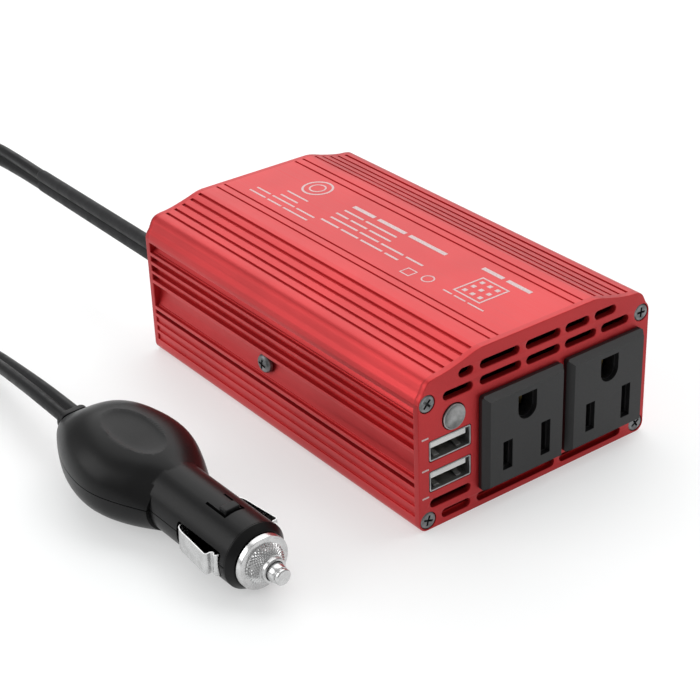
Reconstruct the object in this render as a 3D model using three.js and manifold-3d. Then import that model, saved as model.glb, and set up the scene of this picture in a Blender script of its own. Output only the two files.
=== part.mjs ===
// Two-outlet 12 V power inverter in an aluminium extrusion, with its lead and lighter plug.
// Millimetres, +Z up, the outlets face -Y. The origin is at the middle of the case's underside.
import * as THREE from "three";
import { mergeVertices } from "three/addons/utils/BufferGeometryUtils.js";
import Module from "manifold-3d";

// ---------------------------------------------------------------- driving dimensions
const CASE = { w: 77.4, l: 124, h: 46, foot: 2.5, panel: 2 };
const WALL = { side: 4, floor: 2.2, seam: 13.4 };
const GAP = 0.3; // between pieces that touch on the real object
const PANEL_SCREW = { inset: 2.85, low: 2.85, high: 36.4, head: 2.3, shank: 0.9 };
const SIDE_SCREW = { y: 66.15, z: 19.55, head: 2.75, shank: 1.4, face: 0.5 };
const OUTLET = { out: 3.1, xs: [32.45, 60.7], z: 18.95, blade: 14.25, face: [24.2, 24.8] };
const USB = { x: 10, zs: [22.6, 13.85], w: 13.1, h: 5.7 };
const BUTTON = { x: 11.15, z: 29.9, r: 3.5, out: 0.4 };
const FAN = { x: 41, z: 22.6, size: 40, depth: 10.4, rotor: 18.2 };
const EXIT = { x: 9, z: 25, sleeve: 81 }; // the lead's way out of the rear panel
const BOARD = { z: 7.2, t: 1.6, y0: 28, y1: 108 };
const PLUG = { tip: [-42.6, -2.75, 8.45], tail: [-47.7, 88, 12.4], r: 8.9, split: 0.6 };
const LEAD = { d: 7.4 };

const rear = CASE.l - CASE.panel; // inner face of the rear panel
const floorOf = (x) => (x > CASE.w / 2 ? CASE.w - x : x); // distance from the nearer side

// ---------------------------------------------------------------- materials
const finish = (color, roughness, metalness = 0) =>
  new THREE.MeshStandardMaterial({ color, roughness, metalness });
const RED = finish(0xb02a30, 0.42, 0.85);
const BLACK = finish(0x1d1d1f, 0.55);
const SATIN_BLACK = finish(0x151516, 0.38);
const RUBBER = finish(0x232324, 0.6);
const SCREW = finish(0x55585a, 0.4, 0.9);
const NICKEL = finish(0xc9cacb, 0.22, 1);
const SILVER = finish(0xa9abad, 0.35, 0.7);
const WHITE = finish(0xe8e8e6, 0.5);
const BRASS = finish(0xb99a4e, 0.35, 1);
const ALU = finish(0x9d9fa2, 0.5, 1);
const BOARD_GREEN = finish(0x1f5a3a, 0.5);
const FERRITE = finish(0x2e2e30, 0.7);
const TAPE = finish(0xc9a227, 0.5);
const GLASS = finish(0xd5dde0, 0.1);

// ---------------------------------------------------------------- solids
const wasm = await Module();
wasm.setup();

function toSolid(geometry) {
  const g = geometry.index ? geometry.toNonIndexed() : geometry.clone();
  g.deleteAttribute("normal");
  g.deleteAttribute("uv");
  const m = mergeVertices(g, 1e-4);
  return new wasm.Manifold(
    new wasm.Mesh({
      numProp: 3,
      vertProperties: new Float32Array(m.attributes.position.array),
      triVerts: new Uint32Array(m.index.array),
    }),
  );
}

function toGeometry(solid) {
  const mesh = solid.getMesh();
  const g = new THREE.BufferGeometry();
  g.setAttribute("position", new THREE.BufferAttribute(mesh.vertProperties, 3));
  g.setIndex(new THREE.BufferAttribute(mesh.triVerts, 1));
  const flat = g.toNonIndexed();
  flat.computeVertexNormals();
  return flat;
}

const join = (list) => toGeometry(wasm.Manifold.union(list.map(toSolid)));
const cut = (geometry, list) =>
  toGeometry(toSolid(geometry).subtract(wasm.Manifold.union(list.map(toSolid))));
const keep = (geometry, other) => toGeometry(toSolid(geometry).intersect(toSolid(other)));

const extrude = (shape, depth, curveSegments = 4) =>
  new THREE.ExtrudeGeometry(shape, { depth, bevelEnabled: false, curveSegments });

/** A section drawn in (x, z), from y0 to y1. */
const alongY = (shape, y0, y1, segments) =>
  extrude(shape, y1 - y0, segments).rotateX(Math.PI / 2).translate(0, y1, 0);

const box = (x0, x1, y0, y1, z0, z1) =>
  new THREE.BoxGeometry(x1 - x0, y1 - y0, z1 - z0).translate(
    (x0 + x1) / 2,
    (y0 + y1) / 2,
    (z0 + z1) / 2,
  );

/** Round solid about a line along Y at (x, z); profile is [radius, y] from axis to axis. */
const turned = (profile, sides, x = 0, z = 0) =>
  new THREE.LatheGeometry(
    profile.map(([r, y]) => new THREE.Vector2(r, y)),
    sides,
  ).translate(x, 0, z);

const rod = (x, z, r, y0, y1, sides = 12) =>
  turned([[0, y0], [r, y0], [r, y1], [0, y1]], sides, x, z);

const polygon = (points) => new THREE.Shape(points.map(([a, b]) => new THREE.Vector2(a, b)));

function roundedRect(cx, cz, w, h, r) {
  const s = new THREE.Shape();
  const [a, b] = [w / 2 - r, h / 2 - r];
  s.absarc(cx + a, cz - b, r, -Math.PI / 2, 0);
  s.absarc(cx + a, cz + b, r, 0, Math.PI / 2);
  s.absarc(cx - a, cz + b, r, Math.PI / 2, Math.PI);
  s.absarc(cx - a, cz - b, r, Math.PI, Math.PI * 1.5);
  s.closePath();
  return s;
}

const slot = (x0, x1, z, h) => roundedRect((x0 + x1) / 2, z, x1 - x0, h, h / 2 - 1e-3);

// ---------------------------------------------------------------- the case's section
const FLAT_FROM = 20; // where the flat top starts
const shoulder = new THREE.SplineCurve(
  [
    [0, 36.6], [0.5, 38], [1.3, 39.1], [1.9, 40.3], [2.6, 41.5], [3.7, 42.35],
    [5.2, 42.75], [7.5, 43], [10, 43.45], [14.3, 44.55], [18.3, 45.75], [FLAT_FROM, CASE.h],
  ].map(([x, z]) => new THREE.Vector2(x, z)),
).getPoints(15);

/** Height of the outer skin at x, from the shoulder's own line. */
function skin(x) {
  const d = floorOf(x);
  const i = shoulder.findIndex((p) => p.x > d);
  if (i < 1) return CASE.h;
  const [a, b] = [shoulder[i - 1], shoulder[i]];
  return a.y + ((b.y - a.y) * (d - a.x)) / (b.x - a.x);
}

function section() {
  const { w, foot } = CASE;
  const s = new THREE.Shape();
  s.absarc(w - foot, foot, foot, -Math.PI / 2, 0);
  for (const p of shoulder) s.lineTo(w - p.x, p.y);
  for (const p of [...shoulder].reverse()) s.lineTo(p.x, p.y);
  s.absarc(foot, foot, foot, Math.PI, Math.PI * 1.5);
  s.closePath();
  return s;
}

/** The same points on the left and on the right side. */
const mirrored = (points) => [points, points.map(([x, z]) => [CASE.w - x, z]).reverse()];

// Side grooves: from z, to z, depth. The ribs between them are what is left.
const SIDE_GROOVES = [
  [29.6, 31.4, 1.9], [26.6, 28.55, 1.9], [23.75, 25.7, 1.9], [12.75, 14, 1.9],
  [9.95, 11.7, 0.65], [7.2, 8.85, 0.65], [4.2, 6.2, 0.65],
];
const UNDERCUT = { z0: 32.45, z1: 35.5, depth: 2.5 };
const RECESS = { z0: 15.2, z1: 22.6, depth: 2.4 };
const LEDGE = { x: 1, up: 0.35 };
const SLOPE_GROOVES = { first: 6.65, pitch: 2.83, count: 5, w: 1, depth: 1.5 };
const TOP_GROOVES = { xs: [24.1, 26.8, 52.15, 55], w: 0.65, depth: 0.8 };

function grooves(y0, y1) {
  const cuts = [];
  const both = (points) =>
    mirrored(points).forEach((p) => cuts.push(alongY(polygon(p), y0, y1)));
  for (const [z0, z1, d] of SIDE_GROOVES) both([[-1, z0], [d, z0], [d, z1], [-1, z1]]);
  for (const { z0, z1, depth } of [UNDERCUT, RECESS]) {
    const step = z0 + LEDGE.up;
    both([[-1, z0], [LEDGE.x, z0], [LEDGE.x, step], [depth, step], [depth, z1], [-1, z1]]);
  }
  const trench = (x, w, depth) =>
    cuts.push(box(x - w / 2, x + w / 2, y0, y1, skin(x) - depth, skin(x) + 2));
  for (let i = 0; i < SLOPE_GROOVES.count; i++) {
    const x = SLOPE_GROOVES.first + i * SLOPE_GROOVES.pitch;
    trench(x, SLOPE_GROOVES.w, SLOPE_GROOVES.depth);
    trench(CASE.w - x, SLOPE_GROOVES.w, SLOPE_GROOVES.depth);
  }
  for (const x of TOP_GROOVES.xs) trench(x, TOP_GROOVES.w, TOP_GROOVES.depth);
  return cuts;
}

/** Room for the USB shells, which reach into the left wall behind the front panel. */
const usbRelief = () => box(USB.x - USB.w / 2 - GAP, 8, -5, 17, USB.zs[1] - 3.3, USB.zs[0] + 3.3);

const screwPlaces = [PANEL_SCREW.low, PANEL_SCREW.high].flatMap((z) =>
  [PANEL_SCREW.inset, CASE.w - PANEL_SCREW.inset].map((x) => ({ x, z })),
);

function screwChannels(zMatch) {
  const r = PANEL_SCREW.shank + 0.25;
  return screwPlaces
    .filter(({ z }) => z === zMatch)
    .flatMap(({ x, z }) => [rod(x, z, r, -1, 13, 10), rod(x, z, r, rear - 11, rear + 3, 10)]);
}

function upperShell() {
  const { w, h } = CASE;
  const y0 = CASE.panel + 0.05;
  const y1 = rear - 0.05;
  const body = keep(
    alongY(section(), y0, y1),
    box(-5, w + 5, y0 - 5, y1 + 5, WALL.seam + GAP / 2, h + 5),
  );
  const half = [[WALL.side, 0], [WALL.side, 38.3], [7.4, 39.9], [20.4, 43.3]];
  const inner = [...half.map(([x, z]) => [w - x, z]), ...half.reverse()];
  const screws = [
    turnedX(-1, WALL.side + 1, SIDE_SCREW.shank + 0.3),
    turnedX(w - WALL.side - 1, w + 1, SIDE_SCREW.shank + 0.3),
  ];
  return cut(body, [
    alongY(polygon(inner), y0 - 5, y1 + 5),
    ...grooves(y0 - 5, y1 + 5),
    ...screwChannels(PANEL_SCREW.high),
    ...screws,
    usbRelief(),
  ]);
}

/** A rod along X at the side screws' place. */
function turnedX(x0, x1, r, sides = 14) {
  return new THREE.CylinderGeometry(r, r, x1 - x0, sides)
    .rotateZ(Math.PI / 2)
    .translate((x0 + x1) / 2, SIDE_SCREW.y, SIDE_SCREW.z);
}

function lowerShell() {
  const { w } = CASE;
  const y0 = CASE.panel + 0.05;
  const y1 = rear - 0.05;
  const body = keep(
    alongY(section(), y0, y1),
    box(-5, w + 5, y0 - 5, y1 + 5, -5, WALL.seam - GAP / 2),
  );
  const s = WALL.side;
  const [b0, b1] = [BOARD.z - GAP, BOARD.z + BOARD.t + GAP];
  const inner = polygon([
    [s, WALL.floor], [w - s, WALL.floor], [w - s, b0], [w - s + 1, b0], [w - s + 1, b1],
    [w - s, b1], [w - s, 20], [s, 20], [s, b1], [s - 1, b1], [s - 1, b0], [s, b0],
  ]);
  return cut(body, [
    alongY(inner, y0 - 5, y1 + 5),
    ...grooves(y0 - 5, y1 + 5),
    ...screwChannels(PANEL_SCREW.low),
    usbRelief(),
  ]);
}

// ---------------------------------------------------------------- end panels and their screws
const VENT_H = 2.4;
const VENTS = [
  [12.7, 17.3, 41], [19.5, 32.3, 41], [34.4, 46, 41], [47.7, 55.9, 41], [57.8, 65.2, 41],
  [7.8, 17.2, 36.5], [19.5, 32.9, 36.5], [34.7, 45.9, 36.5], [47.7, 58.4, 36.5],
  [60.3, 69.9, 36.5], [3.5, 16.5, 7.35], [7.15, 16.4, 2.9], [18.6, 45, 2.9], [46.9, 68.8, 2.9],
];

/** Countersinks for the panel screws, opening at y with the cone going towards dir. */
function countersinks(y, dir) {
  const { head, shank } = PANEL_SCREW;
  const profile = [
    [0, -1], [head + 0.15, -1], [head + 0.15, 0.25], [shank + 0.25, 1.55], [shank + 0.25, 4], [0, 4],
  ];
  return screwPlaces.map(({ x, z }) => {
    const g = turned(profile, 14);
    if (dir < 0) g.rotateX(Math.PI);
    return g.translate(x, y, z);
  });
}

function frontPanel() {
  const s = section();
  for (const [x0, x1, z] of VENTS) s.holes.push(slot(x0, x1, z, VENT_H));
  for (const x of OUTLET.xs) s.holes.push(roundedRect(x, OUTLET.z, 23.4, 23.8, 0.5));
  for (const z of USB.zs) s.holes.push(roundedRect(USB.x, z, USB.w + 0.3, USB.h + 0.3, 0.4));
  const buttonHole = rod(BUTTON.x, BUTTON.z, BUTTON.r + 0.15, -1, CASE.panel + 1, 24);
  return cut(alongY(s, 0, CASE.panel, 1.5), [buttonHole, ...countersinks(0, 1)]);
}

const GRILLE = { rings: [7, 11.4, 15.8], w: 2.6, spokes: 4, spoke: 2 };

function ringSector(cx, cz, r0, r1, a0, a1) {
  const s = new THREE.Path();
  s.absarc(cx, cz, r1, a0, a1);
  s.absarc(cx, cz, r0, a1, a0, true);
  s.closePath();
  return s;
}

function rearPanel() {
  const s = section();
  for (const r of GRILLE.rings) {
    const [r0, r1] = [r - GRILLE.w / 2, r + GRILLE.w / 2];
    for (let i = 0; i < GRILLE.spokes; i++) {
      const half = GRILLE.spoke / 2 / r;
      const a = (i * Math.PI * 2) / GRILLE.spokes + Math.PI / 4;
      const step = (Math.PI * 2) / GRILLE.spokes;
      s.holes.push(ringSector(FAN.x, FAN.z, r0, r1, a + half, a + step - half));
    }
  }
  s.holes.push(roundedRect(EXIT.x, EXIT.z, 6.4, 10.4, 3.1));
  const g = alongY(s, rear, CASE.l, 2);
  return cut(g, countersinks(CASE.l, -1));
}

/** A countersunk cross-head screw, its face at y = 0 and its point towards +Y. */
function panelScrew() {
  const { head, shank } = PANEL_SCREW;
  const body = turned(
    [[0, 0.08], [head, 0.08], [head, 0.3], [shank, 1.45], [shank, 8.5], [0, 9.2]],
    14,
  );
  return cut(body, crossRecess(2.7, 0.55, 0.9));
}

const crossRecess = (l, w, depth) => [
  box(-l / 2, l / 2, -1, depth, -w / 2, w / 2),
  box(-w / 2, w / 2, -1, depth, -l / 2, l / 2),
];

/** A pan-head screw for the side wall, its face at y = 0 and its point towards +Y. */
function sideScrew() {
  const { head, shank } = SIDE_SCREW;
  const body = turned(
    [[0, 0], [1.9, 0.05], [head - 0.3, 0.4], [head, 0.9], [head, 1.7], [shank, 1.7],
      [shank, 9], [0, 9.8]],
    18,
  );
  return cut(body, crossRecess(3, 0.65, 1.1));
}

// ---------------------------------------------------------------- outlets
const PIN = { spread: 12.7, ground: 11.9 };
const SLOTS = [
  { name: "hot", dx: -PIN.spread / 2, w: 2.2, h: 7.4 },
  { name: "neutral", dx: PIN.spread / 2, w: 2.2, h: 8.9 },
];

/** A ground hole: flat across the top, round below. */
function dHole(cx, cz, w, h) {
  const s = new THREE.Shape();
  s.moveTo(cx - w / 2, cz + h / 2);
  s.lineTo(cx - w / 2, cz - h / 2 + w / 2);
  s.absarc(cx, cz - h / 2 + w / 2, w / 2, Math.PI, Math.PI * 2);
  s.lineTo(cx + w / 2, cz + h / 2);
  s.closePath();
  return s;
}

function outletBody(cx) {
  const { out, face, z, blade } = OUTLET;
  const [w, h] = face;
  const [rim, bevel, wall] = [1.3, 1.9, out - 1.9];
  const front = -out;
  // The flange: straight sides, then a chamfer up to the face.
  const flange = alongY(roundedRect(0, 0, w + 2 * rim, h + 2 * rim, 0.9), -out, -0.1, 2);
  const wedge = (sx, sz) => {
    const half = (sx ? w : h) / 2;
    const tri = polygon([[half, front - 1], [half + 4, front - 1], [half + 4, front + bevel + 3.6],
      [half + rim, front + bevel], [half, front]]);
    const g = extrude(tri, 40).translate(0, 0, -20);
    if (sz) g.rotateY(-Math.PI / 2);
    if (sx < 0 || sz < 0) g.rotateY(Math.PI);
    return g;
  };
  const bevelled = cut(flange, [wedge(1, 0), wedge(-1, 0), wedge(0, 1), wedge(0, -1)]);
  bevelled.translate(cx, 0, z);
  const block = box(cx - 11.4, cx + 11.4, -wall, 20, z - 11.6, z + 11.6);
  const cuts = [];
  for (const { dx, w: sw, h: sh } of SLOTS) {
    const x = cx + dx;
    const open = (k, y0, y1) =>
      cuts.push(box(x - sw / 2 - k, x + sw / 2 + k, y0, y1, blade - sh / 2 - k, blade + sh / 2 + k));
    open(0.45, -out - 1, -out + 1.3);
    open(0, -out - 1, 2);
    open(1.3, 1.2, 16);
  }
  const gz = blade + PIN.ground;
  cuts.push(alongY(dHole(cx, gz, 6.2, 7.4), -out - 1, -out + 1.3, 6));
  cuts.push(alongY(dHole(cx, gz, 5.3, 6.6), -out - 1, 2, 6));
  cuts.push(box(cx - 3.7, cx + 3.7, 1.2, 16, gz - 3.9, gz + 3.9));
  return cut(join([bevelled, block]), cuts);
}

/** A folded strip that grips a blade: two leaves joined at the back. */
function clip(x, z, gap, h, t = 0.5) {
  const [y0, y1] = [2.4, 14.6];
  const strip = polygon([
    [-gap / 2 - t, y0], [-gap / 2, y0 + 0.5], [-gap / 2, y1 - t], [gap / 2, y1 - t],
    [gap / 2, y0 + 0.5], [gap / 2 + t, y0], [gap / 2 + t, y1], [-gap / 2 - t, y1],
  ]);
  return extrude(strip, h).translate(x, 0, z - h / 2);
}

// ---------------------------------------------------------------- USB ports and button
function usbShell(z) {
  const { x, w, h } = USB;
  const outer = alongY(roundedRect(x, z, w, h, 0.5), 0.1, 14, 2);
  return cut(outer, [box(x - w / 2 + 0.35, x + w / 2 - 0.35, -1, 13.6, z - h / 2 + 0.35, z + h / 2 - 0.35)]);
}

const usbTongue = (z) =>
  box(USB.x - 5.6, USB.x + 5.6, 0.9, 13.3, z + 0.35, z + 2.15);

/** The dished push button: rim, hollow face and the stem that works the switch. */
function button() {
  const { x, z, r, out } = BUTTON;
  return turned(
    [[0, -out + 0.75], [r * 0.45, -out + 0.6], [r - 0.65, -out + 0.15], [r - 0.35, -out],
      [r - 0.1, -out + 0.1], [r, -out + 0.35], [r, 4.2], [1.5, 4.2], [1.5, 6.2], [0, 6.2]],
    20, x, z,
  );
}

function switchBody() {
  const { x, z } = BUTTON;
  return cut(box(x - 3.6, x + 3.6, 8.2, 14.6, z - 3.6, z + 3.6), [
    box(x - 1.9, x + 1.9, 5, 9.8, z - 1.9, z + 1.9),
  ]);
}

// ---------------------------------------------------------------- inside the case
function mainBoard() {
  const { z, t, y0, y1 } = BOARD;
  const edge = WALL.side - 1 + GAP;
  return box(edge, CASE.w - edge, y0, y1, z, z + t);
}

const onBoard = BOARD.z + BOARD.t + GAP;

/** Bar that takes the heat of the transistors to the side wall, tapped for the side screw. */
function heatBar(left) {
  const x0 = WALL.side + GAP;
  const x1 = x0 + 5;
  const [a, b] = left ? [x0, x1] : [CASE.w - x1, CASE.w - x0];
  return cut(box(a, b, 38, 94, 15, 26), [turnedX(a - 1, b + 1, SIDE_SCREW.shank + 0.3)]);
}

/** TO-220 transistor standing on its three legs against a heat bar. */
function transistor(left, y) {
  const x = WALL.side + GAP + 5 + GAP;
  const g = [
    box(x, x + 1.3, y - 5, y + 5, 14, 29),
    box(x + 1, x + 4.5, y - 5, y + 5, 14, 23),
    ...[-2.54, 0, 2.54].map((d) => box(x + 2.2, x + 2.9, y + d - 0.4, y + d + 0.4, onBoard, 14.5)),
  ];
  const body = join(g);
  return left ? body : mirrorX(body);
}

/** The same solid on the other side of the case. */
function mirrorX(g) {
  const solid = toSolid(g).mirror([1, 0, 0]).translate([CASE.w, 0, 0]);
  return toGeometry(solid);
}

const CORE = { x: 38.7, y: 60, w: 30, d: 16, h: 27, leg: 8, yoke: 5 };

function transformerCore() {
  const { x, y, w, d, h, leg, yoke } = CORE;
  const z0 = onBoard + 1.2;
  const win = (w - leg) / 2 - yoke;
  const window = (a) => box(a, a + win, y - d, y + d, z0 + yoke, z0 + h - yoke);
  return cut(box(x - w / 2, x + w / 2, y - d / 2, y + d / 2, z0, z0 + h), [
    window(x - w / 2 + yoke),
    window(x + leg / 2),
  ]);
}

function transformerWinding() {
  const { x, y, w, d, h, leg, yoke } = CORE;
  const z0 = onBoard + 1.2 + yoke + GAP;
  const win = (w - leg) / 2 - yoke;
  const ring = roundedRect(x, y, leg + 2 * win - 2 * GAP, d + 12, 3);
  ring.holes.push(roundedRect(x, y, leg + 2 * GAP, d + 2 * GAP, 0.2));
  return extrude(ring, h - 2 * yoke - 2 * GAP, 3).translate(0, 0, z0);
}

function capacitor(x, y, r, h) {
  const z = onBoard;
  return new THREE.LatheGeometry(
    [[0, 0], [r - 0.4, 0], [r, 0.4], [r, 2.6], [r - 0.5, 3.2], [r, 3.8], [r, h - 0.6],
      [r - 0.6, h], [0, h]].map(([a, b]) => new THREE.Vector2(a, b)),
    18,
  ).rotateX(Math.PI / 2).translate(x, y, z);
}

function fanFrame() {
  const { x, z, size, depth, rotor } = FAN;
  const y1 = rear - GAP;
  const y0 = y1 - depth;
  const plate = alongY(roundedRect(x, z, size, size, 3), y0, y1, 3);
  const tunnel = rod(x, z, rotor + 0.9, y0 - 1, y1 + 1, 28);
  const ring = cut(plate, [tunnel]);
  const struts = [0, 1, 2].map((i) =>
    box(6, rotor + 1.5, 0, 1.4, -1.2, 1.2)
      .rotateY((i * Math.PI * 2) / 3 + 0.5)
      .translate(x, y0, z),
  );
  const hub = rod(x, z, 8.5, y0, y0 + 1.4, 20);
  return join([ring, hub, ...struts]);
}

function fanRotor() {
  const { x, z, depth, rotor } = FAN;
  const y0 = rear - GAP - depth + 2;
  const y1 = rear - GAP - 0.8;
  const hub = rod(0, 0, 9, y0, y1, 20);
  const blade = (i) =>
    new THREE.BoxGeometry(rotor - 8, 1, 9)
      .rotateX(0.75)
      .translate(8 + (rotor - 8) / 2, (y0 + y1) / 2, 0)
      .rotateY((i * Math.PI * 2) / 7);
  const limit = rod(0, 0, rotor, y0, y1, 28);
  const blades = keep(join([0, 1, 2, 3, 4, 5, 6].map(blade)), limit);
  return join([hub, blades]).translate(x, 0, z);
}

// ---------------------------------------------------------------- where the lead leaves
/** Two round conductors side by side, one above the other, joined by a web. */
function twin(cx, cz, d, web = 0.5) {
  const r = d / 2;
  const a = Math.asin((web * r) / r);
  const s = new THREE.Shape();
  const off = r * Math.cos(a);
  s.absarc(cx, cz + off, r, -Math.PI / 2 + a, Math.PI * 1.5 - a);
  s.absarc(cx, cz - off, r, Math.PI / 2 + a, Math.PI * 2.5 - a);
  s.closePath();
  return s;
}

function gland() {
  const { x, z } = EXIT;
  const flange = alongY(roundedRect(x, z, 9.4, 13.4, 4.4), CASE.l + 0.15, CASE.l + 3, 2);
  const neck = alongY(roundedRect(x, z, 5.9, 9.9, 2.9), rear - 1, CASE.l + 1, 2);
  const nut = alongY(roundedRect(x, z, 8.2, 12.2, 4), rear - 3, rear - GAP, 2);
  const hole = alongY(roundedRect(x, z, 4.9, 8.9, 2.4), rear - 9, CASE.l + 9, 2);
  return cut(join([flange, neck, nut]), [hole]);
}

/** The moulded sleeve over the first stretch of the lead, a little thinner at its far end. */
function sleeve() {
  const { x, z, sleeve: l } = EXIT;
  const y0 = rear - 8;
  const length = CASE.l + l - y0;
  const g = extrude(twin(0, 0, 4.15), length, 7);
  const p = g.attributes.position;
  for (let i = 0; i < p.count; i++) {
    const k = 1 - (0.05 * p.getZ(i)) / length;
    p.setXY(i, p.getX(i) * k, p.getY(i) * k);
  }
  // local z runs towards -Y after the turn, so the thick end is turned to the case
  return g.rotateX(-Math.PI / 2).rotateY(Math.PI).translate(x, y0, z);
}

// The free lead, from the sleeve round behind the case's left and back to the plug.
const ROUTE = [
  [9, 205.4, 25], [9, 220, 25], [9, 236, 24.4], [9.2, 256, 21.4], [10.2, 278, 15.8],
  [12.3, 299, 9.6], [15.7, 316, 5.4], [19, 331.5, 3.9], [20.5, 346, 3.8], [17.6, 360.5, 3.8],
  [9.4, 372.9, 3.8], [-3, 381.1, 3.8], [-17.5, 384, 3.8], [-32, 381.1, 3.8],
  [-44.4, 372.9, 3.8], [-52.6, 360.5, 3.8], [-55.5, 346, 3.8], [-54.2, 331.5, 3.8],
  [-52.3, 312, 3.8], [-50.7, 282, 3.8], [-49, 246, 3.8], [-47.2, 212, 3.8], [-46, 186, 4],
  [-45.4, 168, 4.8], [-45.2, 150, 6.2], [-45.5, 134, 7.9], [-46.2, 121.5, 9.6],
  [-47, 109, 11.2], [-47.55, 98, 12.15], [-47.7, 87.65, 12.4],
];

function lead() {
  const curve = new THREE.CatmullRomCurve3(
    ROUTE.map((p) => new THREE.Vector3(...p)), false, "centripetal",
  );
  const ring = new THREE.Shape();
  ring.absarc(0, 0, LEAD.d / 2, 0, Math.PI * 2);
  return new THREE.ExtrudeGeometry(ring, { steps: 34, curveSegments: 5, extrudePath: curve });
}

// ---------------------------------------------------------------- lighter plug
// Local frame: the tip at the origin, the axis along +Y towards the lead.
const HEAD_END = 87.7; // where the grip stops at the lead

/** Half width and half height of the grip at a distance from its end at the lead. */
const GRIP_W = [[0, 5.4], [1.4, 6.6], [4.7, 9.2], [9.5, 11.8], [15, 14.1], [21.3, 15.7],
  [27.4, 16.2], [33, 15.4], [38.6, 13.3], [43, 11.2], [46.1, 9.8]];
const GRIP_H = [[0, 2.8], [1.4, 3.8], [4.7, 6.2], [9.5, 9], [15, 10.7], [21.3, 11.2],
  [27.4, 11.1], [33, 10.7], [38.6, 10.2], [43, 9.5], [46.1, 8.9]];
const FULLNESS = 2.5; // exponent of the grip's cross-section, 2 is an ellipse

/** A closed solid lofted through rounded sections along Y, from the two half-size tables. */
function loft(wide, high, y1, k = 1, sides = 26) {
  const at = (table, s) => {
    const i = Math.max(1, table.findIndex((p) => p[0] >= s - 1e-9));
    const [a, b] = [table[i - 1], table[i]];
    return a[1] + ((b[1] - a[1]) * (s - a[0])) / (b[0] - a[0]);
  };
  const round = (c) => Math.sign(c) * Math.abs(c) ** (2 / FULLNESS);
  const rows = wide.map(([s]) => s);
  const pts = [];
  rows.forEach((s) => {
    for (let j = 0; j < sides; j++) {
      const a = (j * Math.PI * 2) / sides;
      pts.push(at(wide, s) * k * round(Math.cos(a)), y1 - s, at(high, s) * k * round(Math.sin(a)));
    }
  });
  const n = rows.length;
  pts.push(0, y1 - rows[0], 0, 0, y1 - rows[n - 1], 0);
  const idx = [];
  for (let i = 0; i < n - 1; i++) {
    for (let j = 0; j < sides; j++) {
      const [a, b] = [i * sides + j, i * sides + ((j + 1) % sides)];
      idx.push(a, b, a + sides, b, b + sides, a + sides);
    }
  }
  for (let j = 0; j < sides; j++) {
    const k2 = (j + 1) % sides;
    idx.push(n * sides, k2, j, n * sides + 1, (n - 1) * sides + j, (n - 1) * sides + k2);
  }
  const g = new THREE.BufferGeometry();
  g.setAttribute("position", new THREE.Float32BufferAttribute(pts, 3));
  g.setIndex(idx);
  return g;
}

const WINDOW = { y0: 13.2, y1: 30.3, half: 3.5 };
const TAB = { y0: 18.9, y1: 24, half: 2.3, slit: 0.7 };

function plugBody() {
  const { r } = PLUG;
  const barrel = rod(0, 0, r, 11.8, 46, 28);
  const grip = loft(GRIP_W, GRIP_H, HEAD_END);
  const bore = rod(0, 0, 6.4, 10, 50, 20);
  const hollow = loft(GRIP_W.slice(2), GRIP_H.slice(2), HEAD_END, 0.84);
  const leadHole = alongY(roundedRect(0, 0, 7.6, 4, 1.9), 75, 100, 2);
  const windows = box(-12, 12, WINDOW.y0, WINDOW.y1, -WINDOW.half, WINDOW.half);
  const dish = new THREE.CylinderGeometry(1, 1, 4, 24).rotateX(Math.PI / 2).scale(6, 12, 1)
    .translate(0, HEAD_END - 26, 12.1);
  return cut(join([barrel, grip]), [bore, hollow, leadHole, windows, dish]);
}

/** The slits round the snap tab, and the relief in front of it. */
function tabSlits() {
  const { y0, y1, half, slit } = TAB;
  return [
    box(-half - slit, -half, y0 - 0.7, y1 + 2, 4, 12),
    box(half, half + slit, y0 - 0.7, y1 + 2, 4, 12),
    box(-half - slit, half + slit, y0 - 0.7, y0, 4, 12),
  ];
}

const plugHalf = (whole, upper) =>
  upper
    ? cut(whole, [box(-30, 30, 0, 110, -30, PLUG.split + 0.1), ...tabSlits()])
    : cut(whole, [box(-30, 30, 0, 110, PLUG.split - 0.1, 30)]);

const plugNose = () =>
  turned([[5.9, 9.5], [7.4, 9.5], [7.75, 9.8], [PLUG.r, 11.2], [PLUG.r, 11.5], [5.9, 11.5],
    [5.9, 9.5]], 28);

const KNURLS = 12;

/** Screw cap: collar, knurled grip, flange and the threaded sleeve that goes into the nose. */
function tipCap() {
  const plain = turned(
    [[2.6, 3.4], [3.3, 3.6], [3.3, 4.6], [4.4, 5.1], [5.4, 5.4], [5.4, 7.4], [7, 7.4], [7.2, 7.7],
      [7.2, 9.2], [5.6, 9.2], [5.6, 12.4], [4.6, 12.4], [4.6, 8.6], [2.6, 8.6], [2.6, 3.4]],
    24,
  );
  const notches = [];
  for (let i = 0; i < KNURLS; i++) {
    notches.push(box(4.9, 6, 5, 7.35, -0.3, 0.3).rotateY((i * Math.PI * 2) / KNURLS));
  }
  return cut(plain, notches);
}

const centrePin = () =>
  turned([[0, 0], [1.8, 0], [2.1, 0.3], [2.1, 0.7], [1.75, 1.1], [1.75, 1.4], [2.2, 1.9],
    [2.2, 8.9], [4, 8.9], [4, 9.9], [0, 9.9]], 16);

function pinSpring() {
  const turns = 5;
  const points = [];
  for (let i = 0; i <= turns * 8; i++) {
    const a = (i * Math.PI) / 4;
    points.push(new THREE.Vector3(3.75 * Math.cos(a), 10.5 + (i / 8) * 1.4, 3.75 * Math.sin(a)));
  }
  const wire = new THREE.Shape();
  wire.absarc(0, 0, 0.28, 0, Math.PI * 2);
  const path = new THREE.CatmullRomCurve3(points);
  return new THREE.ExtrudeGeometry(wire, { steps: turns * 8, curveSegments: 2.5, extrudePath: path });
}

const fuse = () =>
  turned([[0, 14.6], [3, 14.6], [3, 20], [2.7, 20.2], [2.7, 37.8], [3, 38], [3, 43.4], [0, 43.4]], 16);

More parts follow.
